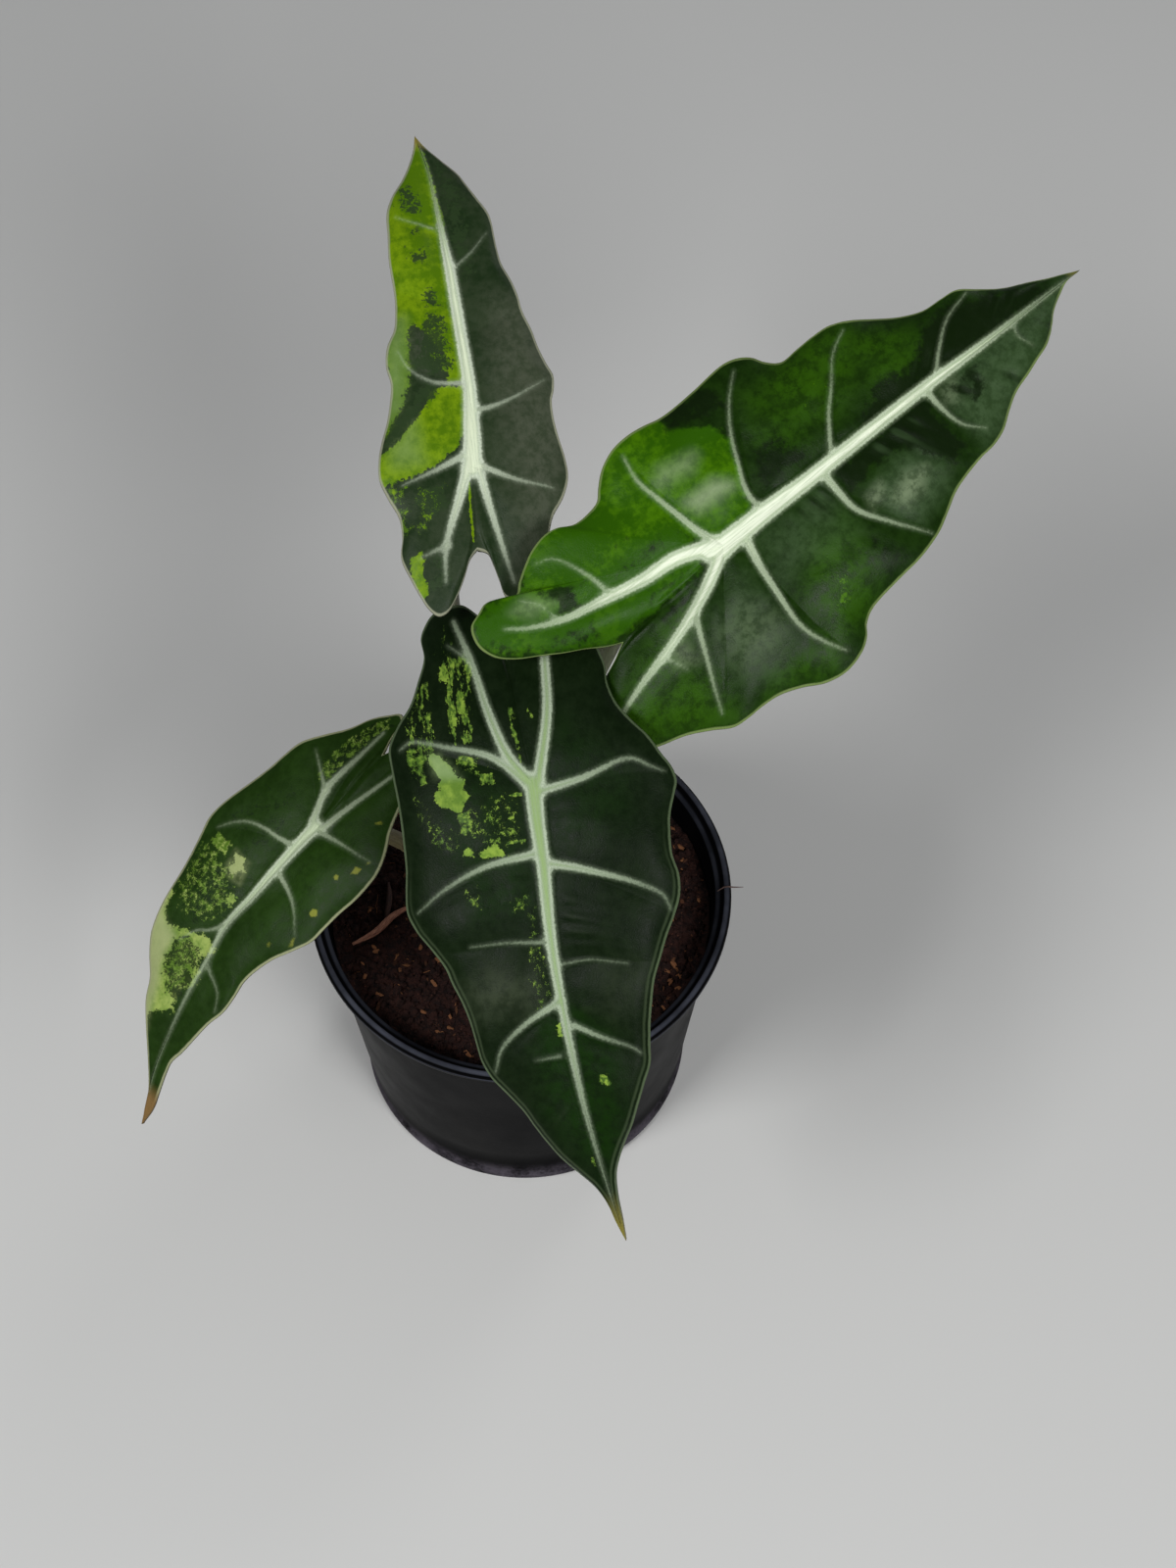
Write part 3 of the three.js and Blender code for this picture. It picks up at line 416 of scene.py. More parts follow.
leafRight = {
    "joint": (52.5, 14.7, 234), "tip": (140.9, 89.1, 249), "roll": 22, "arch": 5, "lobe": 58,
    "drop": (0, 16), "fold": 0.12, "cup": 0.006, "puff": 1.6, "curl": 0.6, "ripple": 1.2,
    "pucker": (0.13, 0.34), "lumps": 0.9, "apex": (121, -1), "sinus": (-33, -2.5), "dry": (116, 120),
    "midrib": [(107, -1), (87, -1), (66.5, -0.5), (46, -0.5), (25.5, -0.5), (5, 0.4)],
    "left": {
        "noVein": 4,
        "margin": [(117.5, 0.5), (111.5, 2.5), (106, 5), (100.5, 7.5), (94.5, 11), (89, 14), (84, 14.5),
            (78.5, 15), (73, 17.5), (67.5, 21), (61.5, 24.5), (56.5, 26.5), (51, 27), (46.5, 27),
            (41.5, 27), (38.5, 29.5), (36.5, 32.5), (33.5, 34.5), (29.5, 35.5), (19.5, 35), (9.5, 35),
            (4.5, 36), (-0.5, 36.5), (-5.5, 36), (-10, 34), (-13.5, 31), (-16, 28.5), (-20, 27.5),
            (-24.5, 27.5), (-28.5, 29.5), (-32, 30), (-36.5, 29), (-39.5, 27.5), (-43.5, 25), (-46, 23),
            (-50, 25), (-53.5, 26), (-56.5, 25), (-60, 23.5), (-61.5, 19), (-60, 14.5), (-56.5, 11),
            (-52, 8), (-46.5, 4.5), (-41.5, 2), (-37, -0.5)],
        "rays": [(70, (80, 8.5), (91, 13)), (36, (46.5, 14.5), (60.5, 25)), (12, (18, 18.5), (33, 34.7)),
            (0, (-5, 18), (-4, 36.2)), (0, (-18, 13.5), (-32, 30)), (0, (-31, 8.3), (-61, 19))],
    },
    "right": {
        "margin": [(118, -1), (115.5, -1.4), (112.5, -2.7), (108, -5), (103.5, -8.5), (99, -11),
            (94, -12.5), (89.5, -14), (84.5, -15.5), (80, -18), (75, -21), (70, -22.5), (65, -23),
            (60, -24), (55, -25.5), (50.5, -28), (45.5, -30.5), (40.5, -32), (35.5, -33), (30, -33.5),
            (20, -35), (16.5, -37), (14.5, -39.5), (11.5, -41.5), (5.5, -43), (0, -42), (-5.5, -39),
            (-11, -37), (-16, -36.5), (-21, -36.5), (-24.5, -36), (-29, -33), (-34, -30), (-41, -27.5),
            (-47, -24.5), (-51, -20), (-51.5, -15), (-47, -10.5), (-41, -6.5), (-36.5, -4.5)],
        "rays": [(64, (66, -11), (73.5, -21.5)), (30, (32, -15.5), (45, -30.7)), (5, (2, -21), (9, -42.3)),
            (0, (-14, -17), (-26, -35)), (0, (-26, -11), (-51.5, -17.5))],
    },
    "veins": [([(121, -1), (107, -1), (87, -1), (66.5, -0.5)], (0.4, 3)),
        ([(66.5, -0.5), (46, -0.5), (25.5, -0.5)], (3, 4)), ([(25.5, -0.5), (12, 0), (0, 0)], (4, 5.8)),
        ([(0, 0), (-4, 1)], (5.2, 4.4)),
        ([(12.5, 2), (13, 8), (16, 15), (20, 22), (25, 28), (30.5, 32.5)], (1.5, 0.3)),
        ([(36, 2), (37.5, 4.5), (41, 9), (47, 15), (52.5, 20.5), (58.5, 23.5)], (1.2, 0.3)),
        ([(70.5, 1), (75.5, 5.5), (81.5, 9.5), (91, 12)], (1, 0.3)),
        ([(-1, 2), (-3, 8), (-5, 18), (-6, 26), (-4.5, 33)], (2.2, 0.6)),
        ([(-2, 1.5), (-11.5, 5), (-20.5, 6), (-32.5, 8.5)], (4, 2.6)),
        ([(-32.5, 8.5), (-41, 10.5), (-49.5, 14.5), (-54, 18)], (2.4, 0.7)),
        ([(-29, 8.5), (-30.5, 15.5), (-34, 24), (-38, 26)], (1.3, 0.3)),
        ([(-43, 12), (-44, 17), (-47, 21)], (0.7, 0.3)),
        ([(5, -3), (3.5, -9), (2.5, -17.5), (2, -26.5), (5, -34.5), (8, -39)], (2.2, 0.6)),
        ([(30.5, -2.5), (30.5, -7.5), (31, -14), (36, -21.5), (43, -30)], (2, 0.5)),
        ([(65, -2), (65, -7.5), (66.5, -13.5), (71, -18)], (1.7, 0.4)),
        ([(95, -2), (93.5, -5), (95, -9)], (0.8, 0.3)),
        ([(-1.5, -1), (-9, -5), (-17.5, -8.5), (-27, -11.5)], (3.4, 2.2)),
        ([(-27, -11.5), (-35.5, -13.5), (-46, -17)], (2.2, 0.8)),
        ([(-16, -8.5), (-18.5, -14), (-21.5, -21.5), (-25, -31.5)], (1.5, 0.5)),
        ([(-28, -12), (-26.5, -15), (-25.5, -18)], (0.9, 0.3))],
    "areas": {
        "lime": [(1, 2.5, [(11, 2), (13.5, 10), (17.5, 19), (17, 24), (12, 28.5), (8, 31), (9, 38),
            (-8, 38), (-15, 30), (-22, 28), (-31, 31), (-40, 29), (-44, 23), (-40, 19), (-33, 14),
            (-26, 14.5), (-20, 16), (-12, 15), (-7, 10), (-4, 3), (2, 0)]), (0.9, 2.5, [(-8, 16), (-20, 17),
            (-36, 15), (-36, 9), (-20, 6), (-4, 5)]), (0.9, 2.5, [(-5, 3), (-16, 6.5), (-30, 9), (-42, 12),
            (-52, 17), (-52, 9), (-44, 3), (-36, -1), (-22, -2), (-8, -1)]), (0.8, 3, [(-42, 24), (-50, 26),
            (-60, 25), (-62, 18), (-55, 11), (-46, 8), (-40, 14)])],
        "deep": [(0.8, 4, [(16, 24), (8, 24), (6, 30), (12, 30)]), (0.9, 5, [(-16, 29), (-30, 30),
            (-42, 26), (-34, 16), (-22, 18)]), (1, 3, [(-8, 13), (-20, 14), (-30, 12), (-36, 9), (-20, 6),
            (-6, 5)]), (0.7, 3, [(-5, 4), (-40, 12), (-54, 18), (-52, 8), (-36, -2), (-8, -2)]),
            (0.6, 4, [(-42, 24), (-60, 25), (-62, 18), (-46, 8)])],
        "green": [(1, 6, [(53, 12), (60, 22), (50, 27), (40, 28), (33, 24), (30, 12), (40, 8)]),
            (0.8, 5, [(70, 16), (60, 22), (54, 20), (54, 4), (64, 3), (72, 8)]), (0.7, 5, [(34, 6),
            (36, 14), (33, 24), (28, 26), (22, 15), (26, 8)]), (1, 6, [(27, -13), (26, -26), (22, -35),
            (8, -36), (8, -22), (16, -13)]), (1, 5, [(-14, -4), (-24, -6), (-38, -12), (-52, -16),
            (-50, -26), (-36, -30), (-30, -20), (-18, -10)]), (1, 5, [(-22, -22), (-22, -36), (-40, -28),
            (-38, -16), (-28, -16)]), (0.8, 4, [(10, -30), (5, -43), (-6, -39), (-16, -36), (-10, -31),
            (0, -33)])],
        "speckle": [(0.32, 5, [(52, 14), (54, 22), (44, 27), (36, 24), (36, 14), (44, 10)]),
            (0.25, 4, [(64, 8), (54, 8), (55, 2), (64, 2)]), (0.5, 6, [(24, -17), (22, -27), (18, -33),
            (10, -32), (11, -22), (17, -17)]), (0.3, 4, [(-28, -14), (-46, -18), (-44, -26), (-32, -26)]),
            (0.3, 4, [(-24, -24), (-24, -33), (-36, -26), (-32, -20)]), (0.25, 3, [(6, -36), (2, -42),
            (-8, -38), (-8, -33)])],
        # painted highlights on the domes, at a vein fork and on the right half
        "paleAndSheen": [(0.8, 3.5, [(10, 10.5), (7, 13.5), (0, 13.5), (1, 11)]), (0.45, 4, [(8, 22), (0, 24),
            (-2, 22), (5, 20)]), (0.28, 3, [(-40, 15), (-47, 16), (-50, 20), (-46, 21)]),
            (0.8, 3, [(51, -16.5), (47, -20), (42, -20.5), (40, -17.5), (46, -15)]), (0.6, 2, [(40, -12),
            (39, -15.5), (34, -16.5), (35, -13)]), (0.5, 3, [(73, -3), (70, -8), (66.5, -7), (69, -3)]),
            (0.5, 2.5, [(-22, -11.5), (-22.5, -18), (-27, -16), (-26, -12)]), (0.2, 5, [(0, -22), (-6, -28),
            (-15, -26), (-15, -16), (-6, -14)])],
        "dark": [(0.7, 3, [(30, 4), (27, 14), (20, 14), (16, 8), (18, 3)]), (0.75, 2.5, [(24, 26), (22, 35),
            (10, 35.5), (8, 31), (14, 28)]), (0.5, 3.5, [(-10, 12.5), (-22, 13), (-28, 11), (-20, 8.5),
            (-10, 8)]), (0.55, 3, [(-36, 6), (-44, 8), (-50, 8), (-44, 3), (-36, -0.5)]),
            (0.45, 2.5, [(-9, 2), (-20, 3), (-26, 2), (-22, -1), (-10, 0)]), (0.7, 2, [(-4, -2.5),
            (-12, -3), (-20, -3.5), (-28, -3.5), (-20, -6), (-8, -3.5)]), (0.9, 4, [(110, 1), (98, 7),
            (84, 13), (74, 12), (66, 6), (56, 8), (46, 3), (46, 0), (110, -1)]), (0.7, 2, [(80, -3),
            (78, -10), (73, -12), (70, -4)]), (0.95, 3, [(63, -2), (63, -18), (58, -20), (50, -9), (40, -8),
            (33, -10), (33, -3)]), (0.5, 3, [(31, -20), (35, -31), (26, -33), (26, -22)])],
        # painted sheen: grey clouds where light glances off the leaf
        "sheenGrey": [(1, 4, [(116, -1), (104, -8), (90, -14), (76, -21), (68, -21), (67, -8), (74, -1)]),
            (0.9, 4, [(56, -12), (54, -24), (42, -26), (36, -20), (38, -12), (46, -10)]),
            (0.6, 5, [(29, -3), (27, -18), (12, -16), (6, -16), (7, -4)]), (0.6, 5, [(0, -8), (-2, -28),
            (-10, -34), (-16, -28), (-16, -16), (-8, -10)])],
    },
    "look": {
        "base": (16, 36, 4), "second": (26, 51, 7), "lime": (68, 114, 1), "limeTwo": (42, 84, 1),
        "paleAndSheen": (150, 166, 130), "dark": (14, 28, 6), "green": (43, 80, 4), "sheenGrey": (64, 86, 54),
        "rib": (176, 196, 156), "ribCore": (240, 248, 224), "rim": (124, 144, 84), "dry": (130, 136, 60),
        "grain": 0.5, "speckGrain": 1.3, "ragged": 0.5, "ribBorder": 0.4, "soft": 0.5, "thinRib": 0.28,
        "paleSheenOnSheet": 0.6, "foldLine": 0.0, "rough": 0.36, "shine": 0.09, "speck": (70, 112, 4),
    },
}

leafFront = {
    "joint": (5.9, -36.7, 206), "tip": (28.8, -123.9, 129), "roll": 14, "arch": 8, "lobe": 46,
    "drop": (20, 20), "fold": 0.1, "cup": 0.005, "puff": 1, "curl": 1.4, "ripple": 0.5,
    "pucker": (0.14, 0.12), "lumps": 0.6, "apex": (118.5, 0), "sinus": (-29.5, -2.5), "dry": (103, 116),
    "midrib": [(95, -1.5), (78.5, -2.5), (58.5, -3), (39, -2.5), (19.5, -1), (5, -0.6)],
    "left": {
        "noVein": 4,
        "margin": [(112.5, 0.4), (106, 0.6), (100, 1.4), (96, 3), (91.5, 5.5), (87.5, 8), (82.5, 10.5),
            (77.5, 13), (72.5, 15.5), (68.5, 16.2), (63, 17.3), (58.5, 18.5), (52, 20.5), (46.5, 23.2),
            (42, 25.5), (37.5, 28.2), (33, 30.3), (28, 31), (23, 30.3), (18, 30.7), (13.5, 31.5), (9, 33.3),
            (6, 34.4), (2.5, 33.8), (-1, 32), (-6, 29.5), (-10.5, 26), (-15, 23), (-20, 21.5), (-24, 21.5),
            (-29, 20), (-35, 17.5), (-41, 13), (-44, 8), (-43.5, 3.5), (-40, 0.5), (-35, -1)],
        "rays": [(59.5, (63.5, 6.5), (69.5, 16)), (44, (44.5, 10), (48, 22.5)),
            (19.5, (25, 14.5), (37, 28)), (2, (-0.5, 17), (3.5, 33.5)), (0, (-13, 12), (-20, 21.5)),
            (0, (-21.5, 6.8), (-44, 8))],
    },
    "right": {
        "margin": [(113, -1.5), (108, -2.5), (103, -4.5), (98.5, -7.5), (93.5, -11), (89, -13.5), (84, -16),
            (79.5, -18), (74.5, -21), (69.5, -24), (65, -25.5), (60, -26), (55, -26.5), (50, -27.5),
            (45, -29), (40.5, -30), (35.5, -32.5), (30.5, -35.5), (26, -37), (21, -36.5), (16, -35.5),
            (11, -35), (1, -34.5), (-8.5, -35), (-13.5, -35), (-18.5, -32), (-23, -28), (-28, -25.5),
            (-33, -23.5), (-37.5, -24), (-40.5, -22.5), (-42.5, -20.5), (-43.5, -16.5), (-43.5, -13),
            (-41.5, -10), (-37, -6)],
        "rays": [(53, (59, -15), (69.5, -24)), (38, (36.5, -16), (36.5, -32)),
            (16.5, (18.7, -19.5), (26, -37)), (0, (-10.5, -16.5), (-13.5, -35)),
            (0, (-22, -9.5), (-43.5, -17))],
    },
    "veins": [([(113, -0.5), (95, -1.8), (78.5, -2.7), (60, -3)], (0.2, 2.1)),
        ([(60, -3), (39, -2.6), (19.5, -1)], (2.1, 3.4)), ([(19.5, -1), (8, -0.6), (0, 0)], (3.4, 4.6)),
        ([(59.5, -1), (64, 6), (67.5, 12), (69.5, 14)], (1.5, 0.4)),
        ([(44, -0.5), (44, 6), (46.5, 15)], (0.6, 0.25)),
        ([(19.5, 1), (22, 8.5), (27.5, 20.5), (32, 26.5), (36, 27.5)], (2.2, 0.5)),
        ([(2, 1), (0.5, 12.5), (-2, 24), (1, 29), (3, 32)], (2.2, 0.4)),
        ([(-1, 1.5), (-16, 6), (-27.5, 7), (-38, 7.8)], (3, 2)), ([(66.5, -6), (66.5, -12)], (0.8, 0.3)),
        ([(53, -3.5), (57, -12.5), (62, -19.5), (68, -22.5)], (1.9, 0.4)),
        ([(38, -4), (36.5, -13), (36, -22.5)], (1, 0.3)),
        ([(16.5, -3), (17.5, -15.5), (21.5, -26.5), (26, -34)], (2, 0.4)),
        ([(-1, -2), (-8, -9), (-12, -19.5), (-14.5, -29), (-13, -32)], (2.2, 0.5)),
        ([(-1, -1), (-7.5, -5), (-18.5, -8.5), (-31, -11.5), (-40, -15)], (2.8, 1.2)),
        ([(-31, -12), (-35, -17)], (0.9, 0.3))],
    "areas": {
        "lime": [(1, 1, [(2.2, -17.3), (3.6, -19), (2.4, -21.5), (1.4, -23.8), (-0.3, -25), (-2.1, -24.6),
            (-2.5, -22.6), (-3.4, -23.6), (-4.9, -22.4), (-6.6, -23.5), (-8.6, -24.5), (-11.3, -24.8),
            (-11, -22.2), (-8.6, -20.4), (-6.6, -18.8), (-4.5, -18), (-3.9, -16.4), (-2, -17.4), (0, -15.8),
            (1.3, -17.2)]), (1, 1.3, [(15.8, -9), (15.6, -15), (14.6, -16.2), (13, -15), (12.8, -11.5)]),
            (0.9, 1, [(14.6, -17.4), (14, -20), (12.2, -19.6), (12.6, -17.4)]), (0.8, 1.2, [(-26, -17.4),
            (-28, -19.8), (-31.5, -19.2), (-31, -17.2)]), (0.6, 1.2, [(-26.5, -11), (-28, -13.8),
            (-31.5, -13.4), (-31, -11)]), (1, 0.9, [(-19, -14.2), (-19.4, -16), (-24.6, -15.4),
            (-24.2, -14)]), (0.95, 0.9, [(-16.2, -16.6), (-17, -18.2), (-21, -18), (-20, -16.4)]),
            (0.9, 0.8, [(62, -4.2), (61.5, -5.4), (58.6, -5.2), (58, -4)])],
        "speckle": [(0.95, 1, [(8, -16.4), (7.4, -18.4), (4.2, -19), (3.6, -17)]), (0.75, 1.2, [(10.5, -16),
            (9, -19.5), (3, -20), (3, -16)]), (0.85, 1, [(-1.5, -9), (-2, -13), (-4.8, -13), (-4.6, -9.4)]),
            (0.75, 1, [(-6, -13), (-7.5, -18.5), (-10.5, -17.5), (-8.5, -12.5)]), (0.7, 1.5, [(-4, -25.5),
            (-4, -28), (-9, -31), (-14.5, -31), (-13, -27), (-9, -26)]), (0.5, 3, [(14, -3.5), (15, -15),
            (8, -18), (2, -16), (-1, -9), (2, -4)]), (0.52, 3, [(14, -20), (12, -28), (0, -32), (-6, -30),
            (2, -26), (8, -19)]), (0.5, 2.5, [(-4, -8), (-8, -14), (-12, -20), (-8, -20), (-3, -15),
            (-1, -10)]), (0.9, 0.5, [(2.4, -3), (2, -6.5), (1.2, -6.5), (1.2, -3)]), (0.9, 0.5, [(13.3, -4),
            (13.2, -9), (12.4, -9), (12.4, -4)]), (0.5, 1.5, [(30, -5), (30, -11), (25, -11), (25, -5)]),
            (0.5, 2, [(28, -17), (27, -22), (21, -22), (21, -17)]), (0.85, 1.2, [(76, 5.5), (75.5, 2.5),
            (72.5, 2.5), (72.5, 5)]), (0.7, 0.9, [(97, -2.6), (97, -4), (93.5, -4), (93.5, -2.8)]),
            (0.5, 2, [(54, -4), (55, -10), (44, -10), (36, -8), (28, -8), (28, -4), (46, -4)])],
        "paleAndSheen": [(0.8, 1.6, [(-4.5, -17.5), (-5.5, -24), (-11, -25), (-11, -22), (-7, -19)])],
        "streak": [(0.86, 1.5, [(-11.5, -12.6), (-12, -18.5), (-24, -19.6), (-33, -20.5), (-32, -11),
            (-24, -12)]), (0.74, 2, [(-6, -26), (-8, -31), (-20, -30), (-28, -26), (-28, -22),
            (-14, -21.5)]), (0.5, 2, [(-31, -12), (-32, -22), (-40, -20), (-40, -13)]),
            (0.9, 0.7, [(-4, -2), (-8, -3.4), (-19, -3.6), (-19, -2), (-8, -1.6)]), (0.7, 0.8, [(-15, 2.8),
            (-19, 2.8), (-19, 1), (-15, 1)])],
        "green": [(1, 5, [(99, -1), (92, 4), (78, 8), (62, 7), (54, 1), (56, -9), (64, -12), (78, -12),
            (92, -6)]), (0.6, 5, [(30, -5), (30, -20), (16, -24), (0, -24), (-8, -14), (2, -4)]),
            (0.5, 5, [(16, 2), (14, 20), (2, 24), (-14, 10), (-4, 3)])],
        # painted sheen, grey-brown beside the midrib
        "sheenGrey": [(0.8, 5, [(53, -9), (54, -24), (46, -26), (42, -18), (46, -9)]), (0.3, 5, [(60, 8),
            (54, 18), (46, 18), (46, 8)])],
    },
    "look": {
        "base": (12, 24, 8), "second": (20, 33, 14), "lime": (138, 166, 64), "limeTwo": (92, 124, 42),
        "paleAndSheen": (142, 166, 112), "dark": (10, 21, 6), "green": (17, 42, 5), "sheenGrey": (58, 67, 49),
        "rib": (160, 178, 146), "ribCore": (144, 170, 112), "rim": (92, 108, 78), "dry": (140, 134, 60),
        "grain": 1.6, "speckGrain": 3.2, "ragged": 0.7, "ribBorder": 0.3, "soft": 0.12, "thinRib": 0.28,
        "paleSheenOnSheet": 0.4, "foldLine": 0.26, "rough": 0.38, "shine": 0.06, "speck": (68, 97, 36),
    },
}

leafLeft = {
    "joint": (-52, -17, 153), "tip": (-100, -75, 95), "roll": 0, "arch": 5, "lobe": 36, "drop": (5, 5),
    "fold": 0.12, "cup": 0.006, "puff": 0.8, "curl": 0.5, "ripple": 0.5, "pucker": (0.08, 0.1),
    "lumps": 0.5, "apex": (96, -1), "sinus": (-24.5, 2.4), "dry": (83, 89),
    "midrib": [(80, -4.5), (65, -5.5), (55, -6), (45, -6), (35, -6.5), (25, -4.5), (15, -3), (5, -1.5)],
    "left": {
        "margin": [(90, 0), (85, -0.5), (80, -1.2), (76, -1.4), (72, 0), (65, 2), (60, 3.5), (55, 5.5),
            (50, 6), (45, 6), (40, 7.5), (35, 10), (30, 13.5), (25, 16.5), (20, 17.5), (15, 18.5), (10, 20),
            (5, 21), (0, 21.3), (-5, 19.9), (-10, 17.3), (-15, 15.6), (-20, 14.5), (-25, 13.5), (-30, 12.5),
            (-34, 10.5), (-35, 8), (-32.5, 5.8), (-28, 4)],
        "rays": [(47.5, (50.5, 0.5), (56, 5.3)), (15.5, (20, 7), (28.5, 14.5)),
            (0, (-0.5, 10.5), (-1, 21.5)), (0, (-16, 6.8), (-35, 8.5))],
    },
    "right": {
        "margin": [(90, -2), (85, -4.5), (80, -7.5), (75, -10.5), (70, -13.5), (65, -16.5), (60, -18.5),
            (55, -22), (50, -24.5), (45, -25.5), (40, -26), (30, -26.5), (20, -27.5), (15, -28), (10, -27),
            (5, -25.3), (0, -23.5), (-5, -21.8), (-10, -20.4), (-15, -18.6), (-20, -14.5), (-25, -10),
            (-30, -7), (-33.5, -3.5), (-35, -1.5), (-34, 0.3), (-30, 1), (-27, 1.7)],
        "rays": [(35.5, (39, -13), (46, -25.4)), (7, (9, -14.5), (18, -27.7)),
            (0, (-9.5, -8.5), (-17.5, -16.5)), (0, (-17.5, -3.3), (-35, -1.5))],
    },
    "veins": [([(92, -1.5), (80, -4.2), (65, -5.5), (55, -6), (45, -6)], (0.2, 1.3)),
        ([(45, -6), (35, -6.5), (25, -4.5)], (1.3, 2.2)), ([(25, -4.5), (12, -2.5), (0, -0.5)], (2.2, 3.6)),
        ([(47.5, -4.5), (51.5, 1.5), (56, 3.6)], (0.9, 0.3)),
        ([(15.5, -1.5), (19.5, 6.5), (26, 12)], (1.5, 0.3)), ([(0.5, 1), (-0.5, 10), (-1, 18)], (1.4, 0.3)),
        ([(-0.5, 1.5), (-5.5, 3), (-15.5, 6.5), (-23, 9)], (2, 0.9)),
        ([(35.5, -7), (39, -10), (41, -13), (46, -16)], (1.1, 0.3)),
        ([(7.5, -3), (8, -8), (8, -12), (9, -16.5), (11.5, -20.5), (15.5, -24)], (1.4, 0.3)),
        ([(-1, -2), (-9, -4), (-21, -2.5), (-29, -1.5)], (2.2, 0.8)),
        ([(-9, -4), (-12.5, -8.5), (-16, -13.5)], (1.2, 0.3))],
    "areas": {
        "lime": [(1, 2.6, [(73, -13), (69, -13), (66, -12), (63, -7), (58, -9), (53, -5), (47, -8),
            (43, -5.5), (40.5, -8), (42, -14), (43, -17), (44.5, -19), (43.5, -22), (41, -24.5), (37, -25),
            (36, -27), (46, -27), (56, -23), (66, -17.5)]), (0.85, 1.2, [(23.4, -12.4), (22, -14.8),
            (20, -13.6), (18, -15.4), (17.6, -11.6), (19.4, -11.6), (20.4, -9.2), (21.4, -11.4)]),
            (0.8, 1.4, [(31, -7.4), (30, -10.5), (27, -10.5), (27, -7.6)])],
        "paleAndSheen": [(1, 2, [(72, -12), (66, -13.5), (60, -15), (54, -17.5), (46, -18), (43, -24), (38, -26),
            (48, -27), (62, -20)]), (0.8, 1.2, [(24, -9), (24, -14), (21, -15.5), (17, -15.5), (18, -10)])],
        "dark": [(0.68, 3.2, [(61, -8), (60, -13.5), (54, -17), (46, -18), (43, -14), (44, -8), (53, -6)]),
            (0.45, 5, [(40, -12), (42, -21), (30, -26), (21, -24), (21, -12), (32, -9)]),
            (0.7, 2, [(-12, -4), (-14, -9), (-30, -6), (-32, -1), (-18, -3.5)]), (0.35, 3, [(14, -6),
            (14, -20), (10, -24), (-4, -19), (-8, -10), (4, -6)])],
        "speckle": [(0.6, 1.5, [(60, -9), (58, -14), (53, -16), (46, -17), (43, -13), (46, -8.5),
            (53, -8)]), (0.56, 5, [(39, -9), (40, -14), (41, -20), (37, -26), (28, -27.5), (19, -27.5),
            (18, -20), (20, -10), (29, -6)]), (0.85, 1.5, [(20.5, -17), (20.5, -23.5), (16, -23.5),
            (16.4, -17)]), (0.58, 1.2, [(-9, -4.5), (-10, -9), (-16, -9.8), (-24, -8.2), (-30, -5.5),
            (-34, -2.8), (-31, -0.6), (-27, -2), (-18, -4)])],
        "yellow": [(1, 0.8, [(19.5, 13), (18.5, 14.3), (17, 13.5), (17.5, 12.2), (19, 12)]),
            (0.8, 0.7, [(8, 13), (7.5, 13.8), (6.2, 13.2), (6.5, 12.3), (7.6, 12.2)]),
            (0.5, 0.7, [(33, 6.5), (33, 8), (31, 8), (31, 6.5)]), (0.8, 0.8, [(4.5, 15.5), (3.5, 17.2),
            (1.5, 17.5), (2, 15.5)]), (0.6, 0.8, [(-9, 13), (-10.5, 15), (-11.5, 14), (-10, 12.5)]),
            (0.6, 0.7, [(0.5, 17.6), (-0.8, 18.8), (-1.6, 18), (-0.6, 17.2)]), (0.6, 1, [(30, 12),
            (29, 13.5), (26, 12.5), (27, 11.5)])],
        "green": [(0.7, 6, [(36, 2), (22, 12), (4, 16), (-14, 8), (4, 2)])],
    },
    "look": {
        "base": (25, 46, 9), "second": (34, 58, 15), "lime": (152, 171, 88), "limeTwo": (98, 129, 48),
        "paleAndSheen": (158, 168, 116), "dark": (22, 40, 11), "green": (36, 64, 12), "sheenGrey": (58, 75, 40),
        "rib": (168, 184, 150), "ribCore": (196, 210, 176), "rim": (160, 164, 126), "dry": (140, 104, 70),
        "grain": 1.4, "speckGrain": 3.4, "ragged": 0.65, "ribBorder": 0.35, "soft": 0.15, "thinRib": 0.24,
        "paleSheenOnSheet": 0.5, "foldLine": 0.0, "rough": 0.4, "shine": 0.08, "speck": (82, 112, 34),
    },
}

leaves = {"back": leafBack, "right": leafRight, "front": leafFront, "left": leafLeft}


# Where the rays of one half start on the midrib and end on the margin
def halfRays(leaf, side):
    half = leaf[side]
    margin = smoothLine([leaf["apex"], *half["margin"], leaf["sinus"]])
    stops = [nearestLength(margin, end) for start, via, end in half["rays"]]
    starts = [leaf["apex"][0], *[start for start, via, end in half["rays"]], leaf["sinus"][0]]
    stops = [0, *stops, margin[1][-1]]
    bends = [np.zeros(2)]
    for (start, via, end), stop in zip(half["rays"], stops[1:]):
        middle = (spinePoint(leaf, np.array([start]))[0] + pointAt(margin, stop)) / 2
        bends.append(2 * (np.array(via) - middle))
    bends.append(np.zeros(2))
    return margin, np.array(starts, float), np.array(stops, float), np.array(bends)


def spinePoint(leaf, start):
    samples, lengths = smoothLine([leaf["apex"], *leaf["midrib"], (0, 0)])
    above = np.interp(start, samples[::-1, 0], samples[::-1, 1])
    below = np.clip(start / leaf["sinus"][0], 0, 1)
    return np.stack([start, np.where(start > 0, above, below * leaf["sinus"][1])], -1)


